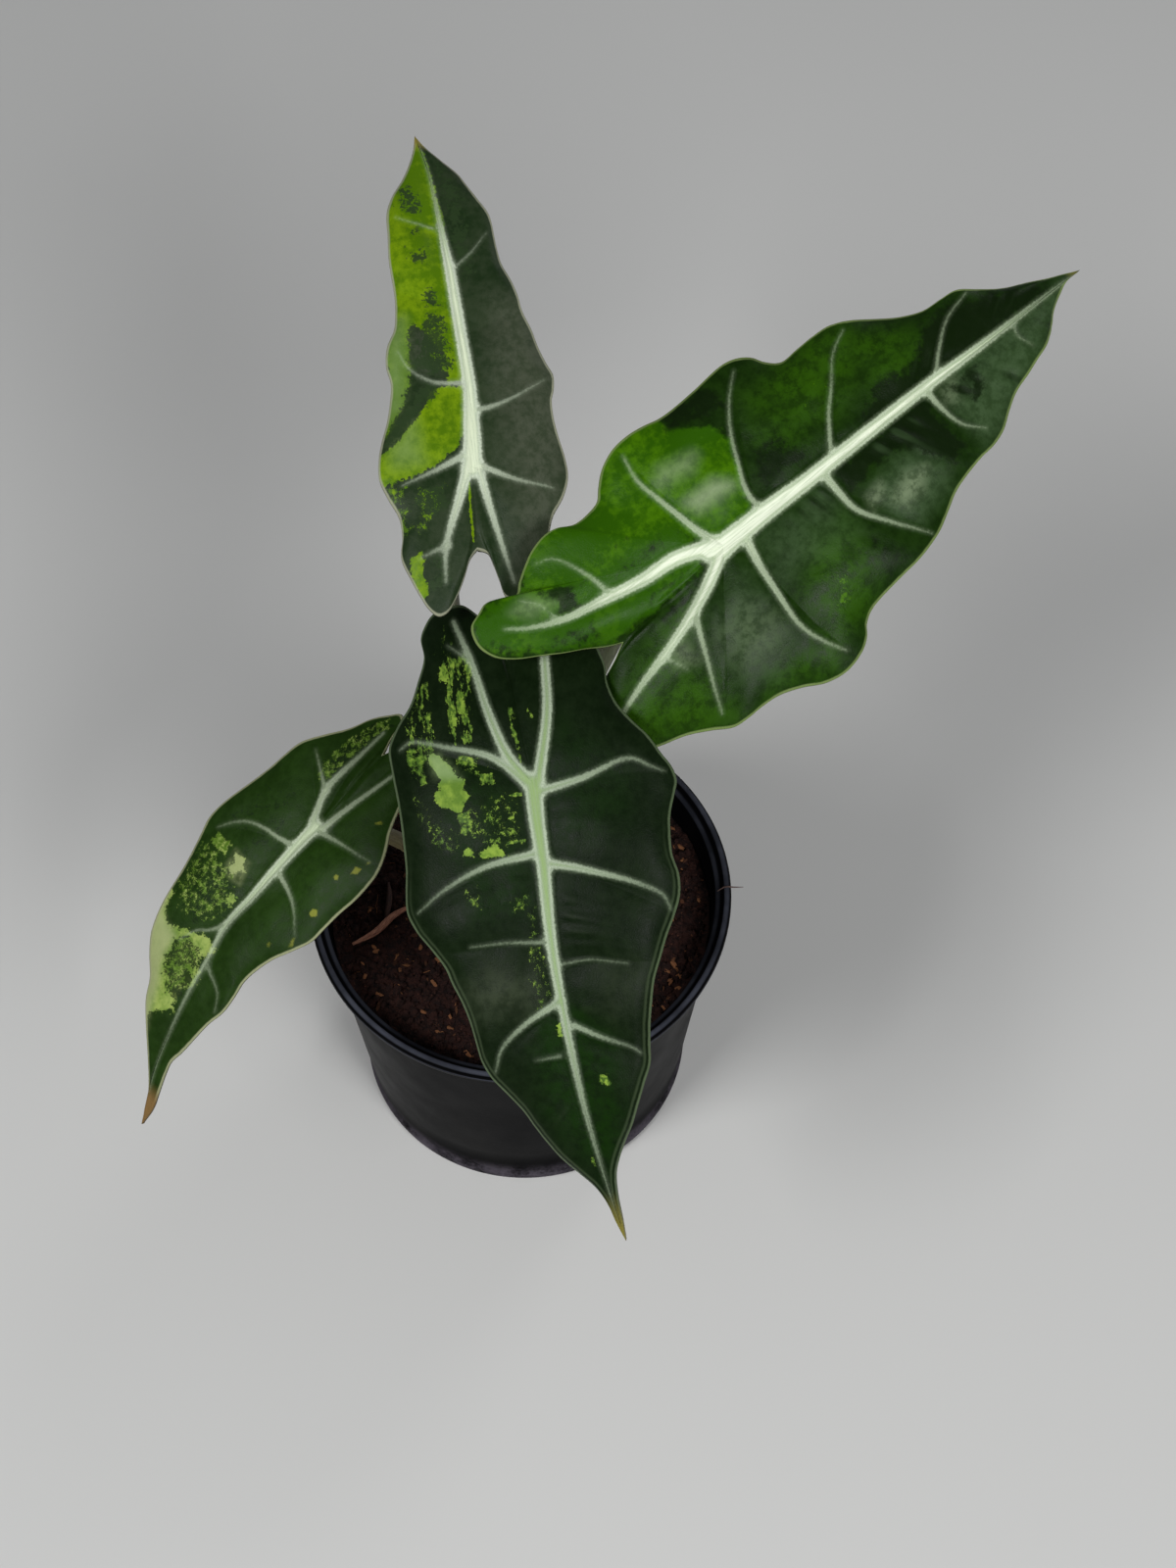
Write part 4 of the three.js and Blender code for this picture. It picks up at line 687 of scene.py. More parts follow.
# Rows that both halves share on the midrib, and each half's own rows round the joint
def halfRows(leaf):
    halves = {side: halfRays(leaf, side) for side in ("left", "right")}
    breaks = sorted({*halves["left"][1], *halves["right"][1]}, reverse=True)
    shared = [breaks[0]]
    for high, low in zip(breaks, breaks[1:]):
        covered = 0
        for margin, starts, stops, bends in halves.values():
            k = max(i for i in range(len(starts) - 1) if starts[i] >= high and starts[i + 1] <= low)
            covered = max(covered, (stops[k + 1] - stops[k]) * (high - low) / (starts[k] - starts[k + 1]))
        count = math.ceil(max(covered / blade["marginStep"], (high - low) / blade["spineStep"]))
        shared.extend(np.linspace(high, low, count + 1)[1:])
    rows = {}
    for side, (margin, starts, stops, bends) in halves.items():
        rows[side] = []
        for k in range(len(starts) - 1):
            if starts[k] == starts[k + 1]:
                count = math.ceil((stops[k + 1] - stops[k]) / blade["marginStep"])
                rows[side] += [(k, f, starts[k]) for f in np.linspace(0, 1, count + 1)[1:]]
            else:
                inside = [s for s in shared if starts[k + 1] <= s < starts[k] or (k == 0 and s == starts[0])]
                rows[side] += [(k, (starts[k] - s) / (starts[k] - starts[k + 1]), s) for s in inside]
    return halves, rows


# Height of the plain bent sheet over the leaf's plane
def leafHeight(leaf, length, u, v):
    x = u / length
    side = blendStep(v, -blade["lobeBlend"], blade["lobeBlend"])
    drop = leaf["drop"][1] * (1 - side) + leaf["drop"][0] * side
    bow = min(point[1] for point in leaf["midrib"])
    arch = 4 * leaf["arch"] * x * np.where(u > 0, 1 - x, 1) - drop * (np.minimum(u, 0) / leaf["lobe"]) ** 2
    off = np.hypot(v - np.where(u > 0, bow * 4 * x * (1 - x), 0), blade["foldRound"]) - blade["foldRound"]
    return arch + leaf["fold"] * off - leaf["cup"] * off * off


# Share of the way along the line from a to b that lies nearest to each point, and the distance there
def nearestOn(points, a, b):
    along = b - a
    f = np.clip(((points - a) @ along) / (along @ along), 0, 1)
    return f, np.linalg.norm(points - a - f[:, None] * along, axis=1)


# Distance from the edge of the nearest vein, below zero inside it, and that vein's own width there
def veinDistance(points, veins):
    nearest, width, ends = np.full(len(points), blade["farOff"]), np.zeros(len(points)), set()
    for path, (wideStart, wideEnd) in veins:
        if len(path) > 2:
            samples, lengths = smoothLine(path, 5)
        else:
            samples, lengths = np.array(path, float), np.array([0, 1.0])
        own, ownWidth = np.full(len(points), blade["farOff"]), np.zeros(len(points))
        for a, b, la, lb in zip(samples, samples[1:], lengths, lengths[1:]):
            f, distance = nearestOn(points, a, b)
            wide = wideStart + (wideEnd - wideStart) * (la + (lb - la) * f) / lengths[-1]
            distance = distance - 0.5 * wide
            ownWidth = np.where(distance < own, wide, ownWidth)
            own = np.minimum(own, distance)
        # a side vein spreads where it leaves a larger one, but not where it goes on from the end of one
        web = blade["sharp"] if path[0] in ends else blade["web"]
        nearer = np.clip(0.5 + 0.5 * (nearest - own) / web, 0, 1)
        width = np.where(own < nearest, ownWidth, width)
        nearest = nearest + (own - nearest) * nearer - web * nearer * (1 - nearer)
        ends.add(path[-1])
    return nearest, width


# 1 inside an outline, 0 outside it, blended over a soft border
def areaMask(points, outline, soft):
    corners = np.array(outline, float)
    distance = np.full(len(points), blade["farOff"])
    inside = np.zeros(len(points), bool)
    for a, b in zip(corners, np.roll(corners, -1, axis=0)):
        distance = np.minimum(distance, nearestOn(points, a, b)[1])
        crosses = (a[1] > points[:, 1]) != (b[1] > points[:, 1])
        # a level side is crossed by none, so its rise only has to differ from nil
        rise = b[1] - a[1] or 1
        inside ^= crosses & (points[:, 0] < a[0] + (points[:, 1] - a[1]) * (b[0] - a[0]) / rise)
    return blendStep(np.where(inside, distance, -distance), -soft, soft)


def bladeAxes(leaf):
    along = (Vector(leaf["tip"]) - Vector(leaf["joint"])).normalized()
    across = Vector((0, 0, 1)).cross(along).normalized()
    turn = Matrix.Rotation(math.radians(leaf["roll"]), 3, along)
    return along, turn @ across, turn @ along.cross(across)


# One grid for each half: the top from the midrib out to the margin, then the underside back to the midrib
def bladeGrids(name, rows, allColumns):
    bm = bmesh.new()
    for i, side in enumerate(("left", "right")):
        bmesh.ops.create_grid(bm, x_segments=allColumns, y_segments=len(rows[side]) - 1, size=0.5,
                              matrix=Matrix.Translation((2 * i, 0, 0)))
    return meshFrom(bm, name)


# For each vertex its place on the plane, its share of a dome, and its ray's end, length and start
def layOut(leaf, halves, rows, place, isRight, t):
    points = np.zeros((len(place), 2))
    share, stopLength, reach, start = (np.zeros(len(place)) for _ in range(4))
    for i, side in enumerate(("left", "right")):
        margin, starts, stops, bends = halves[side]
        mine = isRight == bool(i)
        row = np.rint((0.5 - place[mine, 1]) * (len(rows[side]) - 1)).astype(int)
        k, f, begin = (np.array(column)[row] for column in zip(*rows[side]))
        begin = spinePoint(leaf, begin)
        stopLength[mine] = stops[k] + (stops[k + 1] - stops[k]) * f
        end = pointAt(margin, stopLength[mine])
        bend = bends[k] + (bends[k + 1] - bends[k]) * f[:, None]
        tt = t[mine][:, None]
        points[mine] = begin + (end - begin) * tt + tt * (1 - tt) * bend
        # a ray without a vein lies in the middle of one dome
        spans = np.array([(0.0, 1.0)] * (len(starts) - 1))
        if "noVein" in leaf[side]:
            spans[leaf[side]["noVein"]], spans[leaf[side]["noVein"] + 1] = (0, 0.5), (0.5, 1)
        share[mine] = spans[k, 0] + (spans[k, 1] - spans[k, 0]) * f
        reach[mine] = np.linalg.norm(end - begin, axis=1)
        start[mine] = begin[:, 0]
    return points, share, stopLength, reach, start


def leafNoise(points, scales, layer):
    along, across = scales
    return np.array([noise.noise(Vector((along * u, across * v, layer))) for u, v in points])


# Puckers beside the midrib that lean along the veins, broken up by noise
def puckers(leaf, points, isRight, offSpine, start):
    # their spacing and height swing slowly, on the two halves out of step
    beat = start * 1.3 + 1.9 * np.sin(start * 0.17 + 1.7 * isRight)
    swing = 0.55 + 0.45 * np.sin(start * 0.23 + 2.1 * isRight + 0.6)
    height = np.where(isRight, *leaf["pucker"][::-1]) * np.sin(beat) * swing
    height = height * blendStep(start, *blade["puckerStart"])
    height *= blendStep(offSpine, *blade["puckerBand"]) * np.exp(-(offSpine / blade["puckerReach"]) ** 2)
    return height * np.clip(0.55 + 1.6 * leafNoise(points, blade["puckerNoise"], leaf["roll"] + 9), 0, 1.3)


def buildBlade(name, leaf):
    columns, underColumns = blade["columns"], blade["underColumns"]
    allColumns = columns + underColumns + 1
    halves, rows = halfRows(leaf)
    mesh = bladeGrids(name, rows, allColumns)
    place = coordinates(mesh)
    isRight = place[:, 0] > 1
    column = np.rint((place[:, 0] - 2 * isRight + 0.5) * allColumns).astype(int)
    under = (column > columns).astype(float)
    # t runs from 0 on the midrib to 1 on the margin
    t = np.where(under > 0, (allColumns - column) / underColumns, column / columns) ** blade["crowding"]
    points, share, stopLength, reach, start = layOut(leaf, halves, rows, place, isRight, t)
    u, v = points.T
    rib, ribWidth = veinDistance(points, leaf["veins"])
    offSpine = t * reach
    # relief of the top: domes, wavy margin, puckers, low lumps, turned down edge, raised veins
    dome = leaf["puff"] * 16 * share * (1 - share) * t * (1 - t)
    wave = leaf["ripple"] * t ** 4 * np.sin(stopLength / blade["rippleLength"] + 2 * isRight)
    flutter = puckers(leaf, points, isRight, offSpine, start)
    # the pucker height, kept for the painted shade in their hollows and painted sheen on their crests
    crease = flutter / blade["deepPucker"]
    lumps = leafNoise(points, blade["lumpNoise"], leaf["roll"])
    flutter += leaf["lumps"] * lumps * blendStep(offSpine, *blade["lumpBand"]) * (1 - t ** 4)
    lift = np.clip(reach / blade["narrow"], 0, 1) * (dome + wave + flutter)
    curlFrom, curlSpan = blade["curlBand"]
    lift -= leaf["curl"] * np.clip((t - curlFrom) / curlSpan, 0, 1) ** 2
    ribStart = blendStep(t, 0, blade["ribStart"])
    ribRise = blade["ribRise"] * blendStep(rib, *blade["ribSoft"]) * (1 - t) * ribStart
    lift += ribRise + blade["spineLift"] * np.exp(-(offSpine / blade["spineLiftWidth"]) ** 2)
    # the underside lies a sheet lower, with the midrib as a keel and low ribs
    length = (Vector(leaf["tip"]) - Vector(leaf["joint"])).length
    toEnd = np.where(start > 0, start / leaf["apex"][0], start / leaf["sinus"][0])
    wide, thin = blade["keelHalf"]
    keelHalf = wide + (thin - wide) * np.sqrt(np.clip(np.abs(start) / length, 0, 1))
    keel = blade["midribDepth"] * np.sqrt(np.clip(1 - toEnd, 0, 1))
    keel *= np.sqrt(np.clip(1 - (offSpine / keelHalf) ** 2, 0, 1))
    thinning = blendStep(t, blade["thinFrom"], 1)
    sheet = blade["thickness"] + (blade["edgeThickness"] - blade["thickness"]) * thinning
    sheet += keel
    fromKeel = blendStep(offSpine, 0, blade["ribFromKeel"])
    sheet += blade["ribDepth"] * blendStep(rib, *blade["ribSoftUnder"]) * (1 - t) * fromKeel
    w = leafHeight(leaf, length, u, v) + lift - under * sheet
    axes = np.array([list(axis) for axis in bladeAxes(leaf)])
    place = (np.array(leaf["joint"]) + np.stack([u, v, w], -1) @ axes) * mm
    low, high = (np.array(corner) for corner in cadBox)
    place = np.clip(place, low + blade["insideBox"], high - blade["insideBox"])
    mesh.vertices.foreach_set("co", place.ravel())
    masks = {"ribEdge": rib, "ribWidth": ribWidth, "rimEdge": (1 - t) * reach, "under": under,
             "crease": crease, "dry": blendStep(u, *leaf["dry"])}
    for kind in areaKinds:
        masks[kind] = np.zeros(len(points))
        for strength, soft, outline in leaf["areas"].get(kind, ()):
            masks[kind] = np.maximum(masks[kind], strength * areaMask(points, outline, soft))
    for key, values in masks.items():
        giveAttribute(mesh, key, values)
    # the underside has its own layer of the pattern
    flat = np.stack([u, v, blade["underLayer"] * under], -1).astype(np.float32)
    mesh.attributes.new("flat", "FLOAT_VECTOR", "POINT").data.foreach_set("vector", flat.ravel())
    weld(mesh, blade["weld"])
    return mesh


leafPaint = {
    "yellow": (146, 150, 50), "veinBorder": (222, 230, 212), "dryDark": (96, 84, 40), "dusk": (58, 62, 44),
    "duskTwo": (80, 70, 62), "underRib": (124, 134, 92),
}


# Veins with soft frayed borders, fading as they get thinner; the midrib is greener in its middle
def veinCoats(tree, look, flat, ribEdge):
    fray = calc(tree, "SUBTRACT", noiseOf(tree, flat, 1.3, 4, 0.7), 0.5)
    frayed = plus(tree, ribEdge, times(tree, fray, 1.1))
    vigour = ramp(tree, attribute(tree, "ribWidth"), 0.1, 3.0, look["thinRib"], 1.0)
    grit = ramp(tree, noiseOf(tree, flat, 3.2, 3, 0.7), 0.36, 0.58, 0.6, 1.0)
    halo = times(tree, ramp(tree, frayed, -0.2, 1.0, 1.0, 0.0), 0.22, vigour)
    body = times(tree, ramp(tree, frayed, -0.5, 0.3, 1.0, 0.0), vigour, grit)
    outer, inner = ramp(tree, ribEdge, -1.0, -0.45), ramp(tree, frayed, -0.35, 0.15, 1.0, 0.0)
    strong = times(tree, calc(tree, "POWER", vigour, 2.0), grit)
    border = times(tree, times(tree, outer, inner, look["ribBorder"]), strong)
    stripes = noiseOf(tree, stretch(tree, flat, (0.12, 2.2, 1)), 1.0, 2, 0.5)
    core = times(tree, ramp(tree, ribEdge, -1.5, -0.6, 1.0, 0.0), ramp(tree, stripes, 0.3, 0.6, 0.5, 1.0))
    return [(halo, look["rib"]), (body, look["rib"]), (border, leafPaint["veinBorder"]),
            (core, look["ribCore"])]


def leafMaterial(name, look):
    material, tree, shader = newMaterial(name)
    flat = attribute(tree, "flat", "Vector")
    broad = noiseOf(tree, flat, 0.07, 3, 0.6)
    cloud = noiseOf(tree, flat, 0.2, 6, 0.72)
    mottle = noiseOf(tree, flat, 0.4, 5, 0.65)
    cells = noiseOf(tree, flat, 2.6, 3, 0.6)
    tone = weighted(tree, (broad, 0.5), (mottle, 0.5))

    def patch(kind):
        numbers = {"Grain": look["grain"], "Ragged": look["ragged"], "Soft": look["soft"]}
        return placeGroup(tree, patches, {"Vector": flat, "Mask": attribute(tree, kind), **numbers})

    # plain green of the sheet, in part greener, and grey where sheen is painted on
    sheet = mixColour(tree, ramp(tree, tone, 0.36, 0.64), look["base"], look["second"])
    greener = times(tree, attribute(tree, "green"), ramp(tree, cloud, 0.38, 0.6, 0.25, 0.95))
    sheet = mixColour(tree, greener, sheet, look["green"])
    sheenCloud = weighted(tree, (mottle, 0.4), (cloud, 0.6))
    sheened = mixColour(tree, ramp(tree, sheenCloud, 0.38, 0.62, 0.45, 0.9), sheet, look["sheenGrey"])
    sheet = mixColour(tree, attribute(tree, "sheenGrey"), sheet, sheened)
    # lime patches in two shades, paler in the pale patches, which are in part the leaf's own paler colour and
    # in part painted highlights, then dark patches
    bright = calc(tree, "SUBTRACT", ramp(tree, tone, 0.4, 0.6), attribute(tree, "deep"))
    lime = mixColour(tree, bright, look["limeTwo"], look["lime"])
    paleAndSheen = attribute(tree, "paleAndSheen")
    lime = mixColour(tree, times(tree, paleAndSheen, 0.85), lime, look["paleAndSheen"])
    paleSheenShare = times(tree, paleAndSheen, ramp(tree, mottle, 0.38, 0.6, 0.35, 1.0), look["paleSheenOnSheet"])
    skin = paintOver(tree, sheet, (patch("lime"), lime), (paleSheenShare, look["paleAndSheen"]),
                     (times(tree, patch("dark"), 0.92), look["dark"]))
    # puckers: painted shade in their hollows, painted sheen on their crests
    crease = attribute(tree, "crease")
    paintedShade = ramp(tree, times(tree, crease, -1.0), 0.1, 0.8, 0.0, 0.6)
    paintedSheen = ramp(tree, crease, 0.1, 0.9, 0.0, 0.4)
    skin = paintOver(tree, skin, (paintedShade, look["dark"]), (paintedSheen, look["sheenGrey"]))
    # specks, in places gathered in columns along the leaf, and yellow spots
    columnNoise = noiseOf(tree, stretch(tree, flat, (0.3, 1.0, 1.0)), 0.7, 3, 0.6)
    column = times(tree, attribute(tree, "streak"), ramp(tree, columnNoise, 0.42, 0.6, 0.4, 1.0))
    speckMask = calc(tree, "MAXIMUM", attribute(tree, "speckle"), column)
    dots = placeGroup(tree, specks, {"Vector": flat, "Mask": speckMask, "Grain": look["speckGrain"]})
    speckTone = mixColour(tree, ramp(tree, noiseOf(tree, flat, 1.1, 3, 0.6), 0.44, 0.6), look["speck"], lime)
    yellow = ramp(tree, plus(tree, attribute(tree, "yellow"), times(tree, cells, 0.5)), 0.55, 0.95)
    skin = paintOver(tree, skin, (dots, speckTone), (times(tree, yellow, 0.7), leafPaint["yellow"]))
    ribEdge = attribute(tree, "ribEdge")
    skin = paintOver(tree, skin, *veinCoats(tree, look, flat, ribEdge))
    # margin line, a second line inside it away from the lobes, and the dry tip
    rimPlace = plus(tree, attribute(tree, "rimEdge"), times(tree, mottle, 0.4))
    fold = times(tree, ramp(tree, rimPlace, 1.2, 1.6), ramp(tree, rimPlace, 1.7, 2.3, 1.0, 0.0),
                 ramp(tree, part(tree, flat, "X"), 8, 40), look["foldLine"])
    skin = paintOver(tree, skin, (times(tree, ramp(tree, rimPlace, 0.5, 0.95, 1.0, 0.0), 0.85), look["rim"]),
                     (fold, look["rim"]),
                     (attribute(tree, "dry"), mixColour(tree, cells, look["dry"], leafPaint["dryDark"])))
    # the underside is duller and dusky, with green ribs
    under = attribute(tree, "under")
    dusk = mixColour(tree, ramp(tree, mottle, 0.35, 0.65), leafPaint["dusk"], leafPaint["duskTwo"])
    dusk = mixColour(tree, ramp(tree, ribEdge, -0.3, 0.5, 0.85, 0.0), dusk, leafPaint["underRib"])
    rough = ramp(tree, mottle, 0.3, 0.7, look["rough"] - 0.05, look["rough"] + 0.07)
    # relief with a fine net between the veins
    relief = weighted(tree, (ramp(tree, netOf(tree, flat, 0.36), 0.0, 0.3), 0.12),
                      (ramp(tree, netOf(tree, flat, 1.5), 0.0, 0.2), 0.12))
    relief = plus(tree, relief, weighted(tree, (cells, 0.4), (mottle, 0.9)))
    feed(tree, shader, {"Base Color": mixColour(tree, under, skin, dusk),
                        "Roughness": plus(tree, rough, times(tree, under, 0.2)),
                        "Specular IOR Level": look["shine"], "Normal": bumpOf(tree, relief, 0.3, 0.0003)})
    return material


for side, leaf in leaves.items():
    mesh = buildBlade("blade_" + side, leaf)
    look = leafMaterial("leaf " + side, leaf["look"])
    addPiece("blade_" + side, mesh, look, "leaf_" + side, "leaf_" + side)
    print("leaf", side, len(mesh.polygons), "faces")


# Leaf stalks, each from its foot in the soil to a seat just under its blade's joint

stalkShape = {
    "footHeight": 61, "seat": 2.4, "swellEnd": 0.45, "evenShare": 0.35, "segments": 28, "rings": 90,
    "mark": (86, 74, 52), "blotch": (150, 150, 116),
}
stalks = {
    "back": {
        "path": [(-3, 7, 79), (-9, 13, 133), (-15.3, 21, 188), (-15.8, 28, 211)], "foot": 4.3, "top": 2,
        "low": (104, 100, 70), "high": (112, 116, 92),
    },
    "right": {
        "path": [(7, 2, 79), (12, 5, 128), (18.5, 9.2, 175), (24.2, 10.8, 195), (32.5, 13.5, 216)],
        "foot": 4.5, "top": 2.4, "low": (104, 100, 66), "high": (110, 122, 74),
    },
    "front": {
        "path": [(1.5, -7, 79), (3, -13, 123), (5, -21, 173), (5.6, -29, 195)], "foot": 4.3, "top": 2.3,
        "low": (104, 98, 66), "high": (112, 116, 78),
    },
    "left": {
        "path": [(-7, -2, 79), (-19, -3, 100), (-31, -6, 127), (-43, -12, 145)], "foot": 4, "top": 2,
        "low": (128, 112, 80), "high": (132, 126, 88),
    },
}


# A round bar bent along a smooth path, in millimetres. radiusAt takes the share of the way along, and the
# direction at a point is taken from near it on both sides.
barShape = {"steps": 12, "near": 0.01, "sideways": (1, 0.3, 0)}


def bentBar(name, path, radiusAt, segments, rings):
    line = smoothLine(path, barShape["steps"])
    length = line[1][-1]
    bm = bmesh.new()
    bmesh.ops.create_cone(bm, cap_ends=True, cap_tris=True, segments=segments, radius1=1, radius2=1, depth=1)
    bmesh.ops.subdivide_edges(bm, edges=lengthwaysEdges(bm), cuts=rings, use_grid_fill=True)
    alongLayer = bm.verts.layers.float.new("along")
    turnLayer = bm.verts.layers.float.new("round")
    sideways = Vector(barShape["sideways"]).normalized()
    for vert in bm.verts:
        f = min(max(vert.co.z + 0.5, 0), 1)
        centre = Vector(pointAt(line, f * length))
        shares = max(f - barShape["near"], 0), min(f + barShape["near"], 1)
        behind, ahead = (Vector(pointAt(line, share * length)) for share in shares)
        ahead -= behind
        second = ahead.normalized().cross(sideways).normalized()
        first = second.cross(ahead.normalized()).normalized()
        vert[alongLayer] = f * length
        vert[turnLayer] = math.atan2(vert.co.y, vert.co.x)
        vert.co = (centre + radiusAt(f) * (vert.co.x * first + vert.co.y * second)) * mm
    faceOutward(bm)
    return meshFrom(bm, name)


# Thick at the foot, thinning quickly at first and in part evenly
def stalkRadius(stalk, f):
    swell, even = min(max(f / stalkShape["swellEnd"], 0), 1), stalkShape["evenShare"]
    share = min(1, even * f + (1 - even) * swell * swell * (3 - 2 * swell))
    return stalk["foot"] + (stalk["top"] - stalk["foot"]) * share


def stalkMaterial(name, low, high):
    material, tree, shader = newMaterial(name)
    spun, length = barPlace(tree, 0.03)
    streak = noiseOf(tree, spun, 5.5, 4, 0.6)
    blotch = noiseOf(tree, stretch(tree, spun, (1, 1, 4)), 3.0, 3, 0.6)
    skin = mixColour(tree, ramp(tree, length, 10, 120), low, high)
    skin = paintOver(tree, skin, (times(tree, ramp(tree, streak, 0.45, 0.62), 0.45), stalkShape["mark"]),
                     (times(tree, ramp(tree, blotch, 0.55, 0.7), 0.35), stalkShape["blotch"]))
    feed(tree, shader, {"Base Color": skin, "Roughness": ramp(tree, streak, 0.3, 0.7, 0.36, 0.5),
                        "Normal": bumpOf(tree, streak, 0.4, 0.0003)})
    return material


for side, stalk in stalks.items():
    foot = (*stalk["path"][0][:2], stalkShape["footHeight"])
    seat = Vector(leaves[side]["joint"]) - bladeAxes(leaves[side])[2] * stalkShape["seat"]
    mesh = bentBar("stalk_" + side, [foot, *stalk["path"], seat], lambda f: stalkRadius(stalk, f),
                   stalkShape["segments"], stalkShape["rings"])
    look = stalkMaterial("stalk " + side, stalk["low"], stalk["high"])
    addPiece("stalk_" + side, mesh, look, "petiole", "petiole_" + side)
print("stalks")


# Pot

pot = {
    "height": 91, "rim": 60, "foot": 48.7, "footRound": 3, "footTop": 6, "footStep": 0.5, "wall": 1.1,
    "floor": 2, "floorCorner": 2, "lipStep": 3.2, "lipFoot": 4, "lipInner": 2,
    "lip": [(-0.9, -3.6), (-0.2, -3), (0, -2.2), (0, -1.2), (-0.2, -0.6), (-0.6, -0.2), (-1.0, -0.05),
            (-1.4, 0), (-1.9, -0.1), (-2.2, -0.4), (-2.5, -1.0)],
    "outerRings": (20, 35, 50, 65, 80), "innerRings": (60, 30), "roundSteps": 6, "sides": 144,
    "holes": 6, "holeRadius": 4.5, "holeRing": 30, "holeSides": 32, "drillLength": 10,
    "black": (4, 4, 5), "blackTwo": (8, 8, 10), "thinDust": (92, 88, 84), "footDust": (98, 92, 102),
    # painted highlight colour for the lip's crest and outer corner
    "paintedLipHighlight": (104, 108, 122), "shine": 0.16, "refraction": 1.14,
    # metres
    "weld": 1e-6,
}


def wallRadius(z):
    share = (z - pot["footTop"]) / (pot["height"] - pot["footTop"])
    flare = pot["rim"] - pot["lipStep"] - pot["foot"] + pot["footStep"]
    return pot["foot"] - pot["footStep"] + flare * share


# Outline of the pot's section, from the middle of its underside round to the middle of its floor
def potProfile():
    profile, bend = [(0, 0)], pot["footRound"]
    for i in range(pot["roundSteps"] + 1):
        angle = i / pot["roundSteps"] * math.pi / 2
        profile.append((pot["foot"] - bend * (1 - math.sin(angle)), bend * (1 - math.cos(angle))))
    profile += [(pot["foot"], pot["footTop"] - 1), (wallRadius(pot["footTop"]), pot["footTop"])]
    profile += [(wallRadius(z), z) for z in (*pot["outerRings"], pot["height"] - pot["lipFoot"])]
    profile += [(pot["rim"] + r, pot["height"] + z) for r, z in pot["lip"]]
    inner = (pot["height"] - pot["lipInner"], *pot["innerRings"], pot["footTop"])
    profile += [(wallRadius(z) - pot["wall"], z) for z in inner]
    return profile + [(pot["foot"] - pot["wall"] - pot["floorCorner"], pot["floor"]), (0, pot["floor"])]


# A boolean cut leaves points and faces in an order that changes from run to run, so both are sorted
def inOrder(cutMesh, name):
    places = coordinates(cutMesh)
    order = np.lexsort(places.T)
    rank = np.argsort(order)
    faces = []
    for face in cutMesh.polygons:
        corners = [int(rank[i]) for i in face.vertices]
        first = corners.index(min(corners))
        faces.append(corners[first:] + corners[:first])
    mesh = bpy.data.meshes.new(name)
    mesh.from_pydata(places[order].tolist(), [], sorted(faces))
    mesh.polygons.foreach_set("use_smooth", [True] * len(faces))
    mesh.update()
    return mesh


def buildPot():
    bm = bmesh.new()
    verts = [bm.verts.new((r * mm, 0, z * mm)) for r, z in potProfile()]
    edges = [bm.edges.new(pair) for pair in zip(verts, verts[1:])]
    bmesh.ops.spin(bm, geom=verts + edges, axis=(0, 0, 1), cent=(0, 0, 0), angle=fullTurn,
                   steps=pot["sides"], use_merge=True)
    bmesh.ops.remove_doubles(bm, verts=bm.verts, dist=pot["weld"])
    faceOutward(bm)
    body = bpy.data.objects.new("potBody", meshFrom(bm, "potBody"))
    bm = bmesh.new()
    for i in range(pot["holes"]):
        angle = (i + 0.5) / pot["holes"] * fullTurn
        centre = Vector((math.cos(angle), math.sin(angle), 0)) * pot["holeRing"] * mm
        bmesh.ops.create_cone(bm, cap_ends=True, segments=pot["holeSides"], radius1=pot["holeRadius"] * mm,
                              radius2=pot["holeRadius"] * mm, depth=pot["drillLength"] * mm,
                              matrix=Matrix.Translation(centre))
    drill = bpy.data.objects.new("potDrill", meshFrom(bm, "potDrill"))
    for helper in (body, drill):
        bpy.context.scene.collection.objects.link(helper)
    cut = body.modifiers.new("drainHoles", "BOOLEAN")
    cut.operation, cut.object, cut.solver = "DIFFERENCE", drill, "EXACT"
    bpy.context.view_layer.update()
    cutMesh = bpy.data.meshes.new_from_object(body.evaluated_get(bpy.context.evaluated_depsgraph_get()))
    for helper in (body, drill):
        bpy.data.objects.remove(helper)
    return inOrder(cutMesh, "pot_shell")


def potMaterial():
    material, tree, shader = newMaterial("black plastic")
    place = objectPlace(tree)
    height = part(tree, place, "Z")
    broad = noiseOf(tree, place, 35, 4, 0.6)
    drawn = noiseOf(tree, stretch(tree, place, (1, 1, 0.06)), 420, 3, 0.6)
    footDust = placeGroup(tree, scuffs, {"Vector": place, "Low": 0.001, "High": 0.013, "Amount": 0.85})
    thinDust = placeGroup(tree, scuffs, {"Vector": place, "Low": 0.05, "High": 0.12, "Amount": 0.02})
    # painted highlight: the lip a little paler along its crest and its outer corner, where light catches it
    corner = calc(tree, "ABSOLUTE", calc(tree, "SUBTRACT", height, 0.0893))
    corner = ramp(tree, corner, 0.0001, 0.0005, 1.0, 0.0)
    paintedLipHighlight = weighted(tree, (ramp(tree, height, 0.0906, 0.091), 0.5), (corner, 0.4))
    paintedLipHighlight = times(tree, paintedLipHighlight, ramp(tree, broad, 0.35, 0.6, 0.4, 1.0))
    plastic = mixColour(tree, broad, pot["black"], pot["blackTwo"])
    plastic = paintOver(tree, plastic, (thinDust, pot["thinDust"]), (footDust, pot["footDust"]),
                        (paintedLipHighlight, pot["paintedLipHighlight"]))
    rough = plus(tree, ramp(tree, broad, 0.3, 0.7, 0.3, 0.42), times(tree, footDust, 0.3))
    grain = weighted(tree, (drawn, 0.5), (noiseOf(tree, place, 1400, 2, 0.5), 0.5))
    feed(tree, shader, {"Base Color": plastic, "Roughness": rough, "Specular IOR Level": pot["shine"],
                        "IOR": pot["refraction"], "Normal": bumpOf(tree, grain, 0.2, 0.0002)})
    return material


addPiece("pot_shell", buildPot(), potMaterial(), "pot_plastic", "pot")
print("pot")


# Soil: a rough bed to the wall, with crumbs, bits of bark and fibres strewn on it

